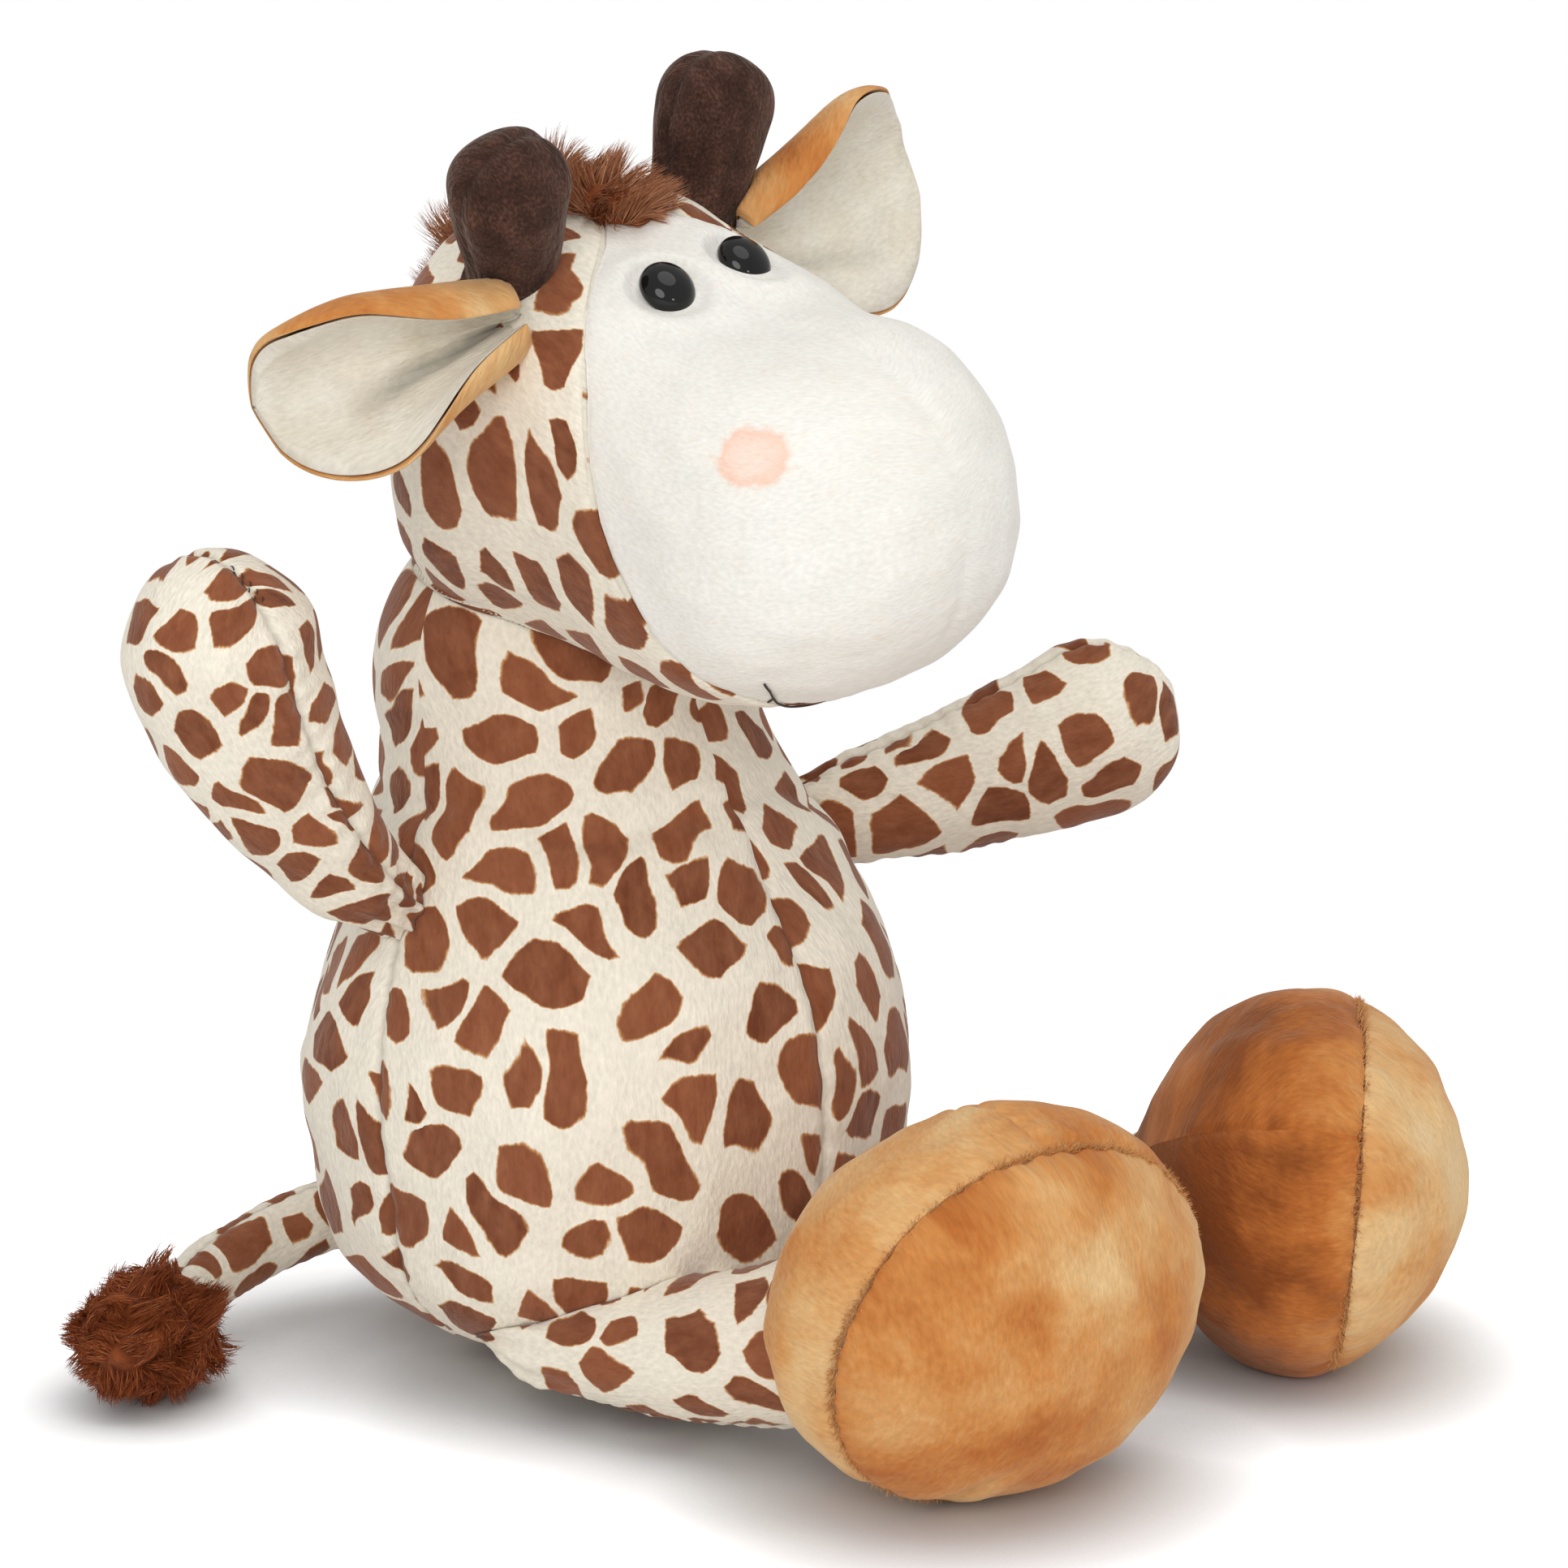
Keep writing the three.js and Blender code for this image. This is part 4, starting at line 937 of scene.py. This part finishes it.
for name, side, leg_turn, sole_turn, sole_tilt, seam_turn in (("right", -1, 19, -8, 13, 90),
                                                              ("left", 1, 29, 40, 4, 146)):
    tilt = radians(sole_tilt)
    nod = np.array(((1, 0, 0), (0, cos(tilt), -sin(tilt)), (0, sin(tilt), cos(tilt))))
    to_foot = about_z(sole_turn) @ nod
    grid = np.meshgrid(np.linspace(.02, .98, 60), np.linspace(0, 2 * pi, 80))
    lowest = (foot_form.skin(grid[0].ravel(), grid[1].ravel()) @ to_foot.T)[:, 2].min()
    hip = body_form.skin(14 / body_top[2], mirrored(side, -24))[0]
    heading = radians(leg_turn)
    out = np.array((sin(heading), -cos(heading), 0))
    ankle = np.array((*(hip + out * leg_long)[:2], -lowest - .5))
    knee = np.array((*(hip + out * leg_long / 2)[:2], 14))
    t = np.linspace(0, 1, 80)[:, None]
    line = (1 - t) ** 2 * (hip - out * leg_sunk) + 2 * t * (1 - t) * knee + t**2 * ankle
    form = Stuffed(measured(line), (out[1], -out[0], 0), leg_wide, leg_deep, leg_shares, (.12, .1))

    for part, first, last in (("upper", None, sole_seam), ("sole", sole_seam, None)):
        foot = sew_bag(name + "_foot_" + part + "_velvet", foot_form, 176, 120, np.radians((-90, seam_turn)),
                       first, last, seed=20 + side)
        bulk = .5 * waves(foot.points, 26, 60 + side) + .2 * waves(foot.points, 10, 62)
        bulk += drawn_in(foot.rim, foot.turn * 38, .55, 2.0, .25, 5.4, side)
        if part == "upper" and side < 0:
            bulk += .3 * waves(foot.points, 18, 66)
        if part == "upper":
            bulk += drawn_in(foot.seam, foot.reach, .7, 1.1, .2, 5) * np.clip((foot.place - .1) / .1, 0, 1)
        fill_out(foot, bulk)
        x, y, z = foot.points.T
        # The near sole is made darker toward its outer side and the near upper lighter toward its outer side.
        # The far sole is lighter all over. The far upper is darker below its top and toward its heel, which
        # is painted shade.
        if side < 0 and part == "sole":
            beside = x + 15 - .3 * (z + 28)
            pinch = .8 * ridge(np.abs(beside) - 4.5, 3) - 2 * ridge(beside, 1.5)
            foot.points[:, 1] -= pinch * np.clip((-17 - z) / 8, 0, 1)
            mark(foot, "nap_and_shade", .1 * np.clip(x / 30, -1, 1) - .03)
        elif side < 0:
            mark(foot, "nap_and_shade", .16 * np.clip(-x / 30, -1, 1))
        elif part == "sole":
            mark(foot, "nap_and_shade", np.full(len(x), .14))
        else:
            mark(foot, "nap_and_shade", -.08 - .09 * np.clip((22 - z) / 8, 0, 1) - .16 * np.clip((y + 8) / 16, 0, 1))
        foot.points[foot.inside] += (0, .02, 0) if part == "upper" else (0, -.02, 0)
        if part == "sole":
            lay_flat(foot.mesh, (foot.points[:, (0, 2)] * 1.15 + 500 * side)[corners_of(foot.mesh)])
        foot.points = foot.points @ to_foot.T + ankle
        push_out(foot.points, body_tree, .3)
        keep_off_floor(foot.points)
        cover = piece(foot, tan_velvet)
        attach(cover, name + "_leg")
        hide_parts(name + "_foot_" + part)
        if part == "upper":
            upper_tree = tree_of(foot)

    count = 2600
    place, turn = sole_place + random.normal(0, .006, count), random.uniform(0, 2 * pi, count)
    roots, facing = foot_form.skin(place, turn) @ to_foot.T + ankle, foot_form.facing(place, turn) @ to_foot.T
    comb = unit(facing * .5 + random.normal(size=(count, 3)) * .6)
    tips = roots + comb * random.uniform(.4, 1.3, (count, 1))
    fringe = fur(name + "_sole_fringe", roots - facing * .9, tips, comb * 0, .08, 64 + side)
    keep_off_floor(fringe.points)
    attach(piece(fringe, tan_pile), name + "_leg")

    leg = sew_bag(name + "_leg_velvet", form, 120, 110, np.radians((62, 250)), seed=26 + side)
    gather = ridge(leg.place - .08, .09)
    bulk = drawn_in(leg.seam, leg.reach, .7, 1.1, .2, 4.6) + .8 * np.cos(leg.turn * 9 + side) * gather
    fill_out(leg, bulk + .4 * waves(leg.points, 22, 70 + side))
    sewn_to(leg, body_tree, .14)
    push_out(leg.points, body_tree, .3)
    cut_back(leg.points, upper_tree, unit(line[-1] - line[55]))
    push_out(leg.points, upper_tree, .2)
    keep_off_floor(leg.points, floor_gap + 5 * np.clip(1 - leg.place / .13, 0, 1))
    mark(leg, "seam_line_and_shade", ridge(leg.seam, .6))
    cover = piece(leg, print_velvet)
    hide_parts(name + "_leg")
    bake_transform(cover)

# ---- Tail ----
# A stuffed tube of the printed velvet with one seam below, sewn to the back and curled to the right along the
# floor. Its end is held in a bag of long brown fur.
tail_long, tail_thick, tail_sunk = 72, 14, 6.4
tail_root = body_form.skin(20 / body_top[2], pi / 2)[0]
tail_points = [tail_root - (0, tail_sunk, 0)]
for share, drop in zip(np.linspace(0, 1, 5), (.1, .35, .65, .88, 1)):
    heading = radians(145 + (214 - 145) * share)
    step = (tail_long + tail_sunk) / 5 * np.array((cos(heading), sin(heading), 0))
    point = tail_points[-1] + step
    point[2] = 20 - 9 * drop
    tail_points.append(point)
tail_form = Stuffed(line_through(tail_points), (0, 0, 1), tail_thick, tail_thick,
                    [[0, .86, .86], [.3, 1, 1], [.7, .94, .94], [1, .86, .86]], (.08, .08))
tail = sew_bag("tail_velvet", tail_form, 72, 120, (pi, 2 * pi), seed=30)
fill_out(tail, drawn_in(tail.seam, tail.reach, .4, .9, .1, 4) + .25 * waves(tail.points, 14, 80))
push_out(tail.points, body_tree, .25)
mark(tail, "seam_line_and_shade", ridge(tail.seam, .5))
cover = piece(tail, print_velvet)
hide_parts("tail")
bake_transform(cover)

# ---- Tail tuft ----
# A small bag of the long brown fur round the tail's end, resting on the floor.
tuft_long, tuft_wide, tuft_high = 34, 24, 21
tuft_fur = strand_look("tuft_fur", ((0, (92, 38, 14)), (.35, (136, 64, 28)), (.7, (172, 92, 46)),
                                    (1, (206, 132, 80))))
tuft_out = unit(tail_form.heading(np.array((1.0,)))[0] * (1, 1, 0))
tuft_start = tail_points[-1] - tuft_out * 5
tuft_start[2] = 25 / 2 - .5
tuft_form = Stuffed(measured(np.linspace(tuft_start, tuft_start + tuft_out * tuft_long, 40)),
                    np.cross((0, 0, 1), tuft_out), tuft_wide, tuft_high,
                    [[0, .7, .72], [.3, .98, .98], [.65, 1, 1], [1, .86, .84]], (.3, .4))
tuft = sew_bag("tail_tuft_backing", tuft_form, 64, 60, (0, pi), seed=32)
fill_out(tuft, 1.3 * waves(tuft.points, 11, 90) - 1.2)
keep_off_floor(tuft.points, .3)
cover = piece(tuft, fur_backing)
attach(cover, "tail")
count = 6800
place, turn = random.beta(1.2, 1.1, count) * .98 + .01, random.uniform(0, 2 * pi, count)
roots, facing = tuft_form.skin(place, turn), tuft_form.facing(place, turn)
roots += facing * (1.3 * waves(roots, 11, 90) - .4)[:, None]
lock = waves(roots, 8, 91)[:, None]
comb = unit(facing * .32 + tuft_out * (.5 + .3 * lock) + lock * np.array((.7, -.5, .6))
            + random.normal(size=(count, 3)) * .28)
length = random.uniform(2.5, 5.5, count)[:, None] * (1 + .45 * lock)
tips = matted(roots, roots + comb * length, 80, .5)
keep_off_floor(tips, .4)
bow = facing * length * random.uniform(.02, .15, (count, 1))
strands = fur("tail_tuft_strands", roots - facing * .6, tips, bow, .09, 92)
keep_off_floor(strands.points, .2)
cover = piece(strands, tuft_fur)
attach(cover, "tail")
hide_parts("tail_tuft")

# ---- Studio ----
# A white sheet under the giraffe that fades into a white surround, a soft lamp over it, a stronger one at its
# front right and a small low one in front. The camera stands where the photograph was taken from.
sheet = bmesh.new()
bmesh.ops.create_grid(sheet, x_segments=2, y_segments=2, size=20)
mesh = bpy.data.meshes.new("studio_floor")
sheet.to_mesh(mesh)
sheet.free()
floor = put_in_scene("studio_floor", mesh)
paper, tree, shader = new_look("studio_paper")
to_camera = add_node(tree, "LightPath").outputs["Is Camera Ray"]
feed(tree, shader, (("Roughness", .9), ("Specular IOR Level", 0),
                    ("Base Color", mixed(tree, to_camera, (.95, .95, .95, 1), (.55, .55, .55, 1)))))
white = add_node(tree, "Emission", (("Color", (1, 1, 1, 1)), ("Strength", 1.0)))
under_edge, fade_start, fade_end = .03, .16, .36
# For the camera the sheet glows white, less where ambient occlusion finds the giraffe close above it, which
# is a painted contact shadow.
open_sky = add_node(tree, "AmbientOcclusion", (("Distance", under_edge),), samples=8).outputs["AO"]
glow_with_painted_shadow = reckon(tree, "MULTIPLY", reckon(tree, "POWER", open_sky, 2.4), .9)
lift = add_node(tree, "Emission", (("Color", (1, 1, 1, 1)),
                                   ("Strength", reckon(tree, "MULTIPLY", to_camera, glow_with_painted_shadow))))
lit = add_node(tree, "AddShader", ((0, shader.outputs[0]), (1, lift.outputs[0])))
distance = add_node(tree, "VectorMath", ((0, add_node(tree, "TexCoord").outputs["Object"]),),
                    operation="LENGTH").outputs["Value"]
away = add_node(tree, "MapRange", ((0, distance), (1, fade_start), (2, fade_end)),
                interpolation_type="SMOOTHSTEP").outputs[0]
away = reckon(tree, "MULTIPLY", away, to_camera)
paper_look = add_node(tree, "MixShader", ((0, away), (1, lit.outputs[0]), (2, white.outputs[0])))
feed(tree, tree.nodes["Material Output"], (("Surface", paper_look.outputs[0]),))
mesh.materials.append(paper)

for name, place, size, watts in (("overhead_lamp", (.05, -.45, 1.3), .9, 3),
                                 ("front_lamp", (-1.15, -.9, .75), .9, 8),
                                 ("low_lamp", (-.2, -1.2, .3), .14, .5)):
    lamp = bpy.data.lights.new(name, "AREA")
    lamp.shape, lamp.size, lamp.energy = "DISK", size, watts
    away = unit(np.array(place) - (0, 0, .1))
    right = unit(np.cross((0, 1, .01), away))
    axes = np.column_stack((right, np.cross(away, right), away))
    put_in_scene(name, lamp).matrix_world = placed(axes, place)

world = bpy.data.worlds.new("studio_white")
bpy.context.scene.world = world
world.use_nodes = True
tree = world.node_tree
to_camera = add_node(tree, "LightPath").outputs["Is Camera Ray"]
feed(tree, tree.nodes["Background"], (("Color", (1, 1, 1, 1)),
                                      ("Strength", reckon(tree, "MULTIPLY_ADD", to_camera, .4, .6))))

azimuth, elevation, distance = radians(-45.5), radians(12), .9
right = np.array((cos(azimuth), sin(azimuth), 0))
back = np.array((sin(azimuth) * cos(elevation), -cos(azimuth) * cos(elevation),
                 sin(elevation)))
up = np.cross(back, right)
photo_side, pixel, seat_x, seat_y = 1932, .155 * .001, 750, 1650
stand = back * distance - right * (seat_x - photo_side / 2) * pixel + up * (seat_y - photo_side / 2) * pixel
camera = bpy.data.cameras.new("camera")
camera.sensor_width, camera.lens = 36, 36 * distance / (photo_side * pixel)
shot = put_in_scene("camera", camera)
shot.matrix_world = placed(np.column_stack((right, up, back)), stand)
bpy.context.scene.camera = shot
bpy.context.scene.view_settings.view_transform = "Standard"
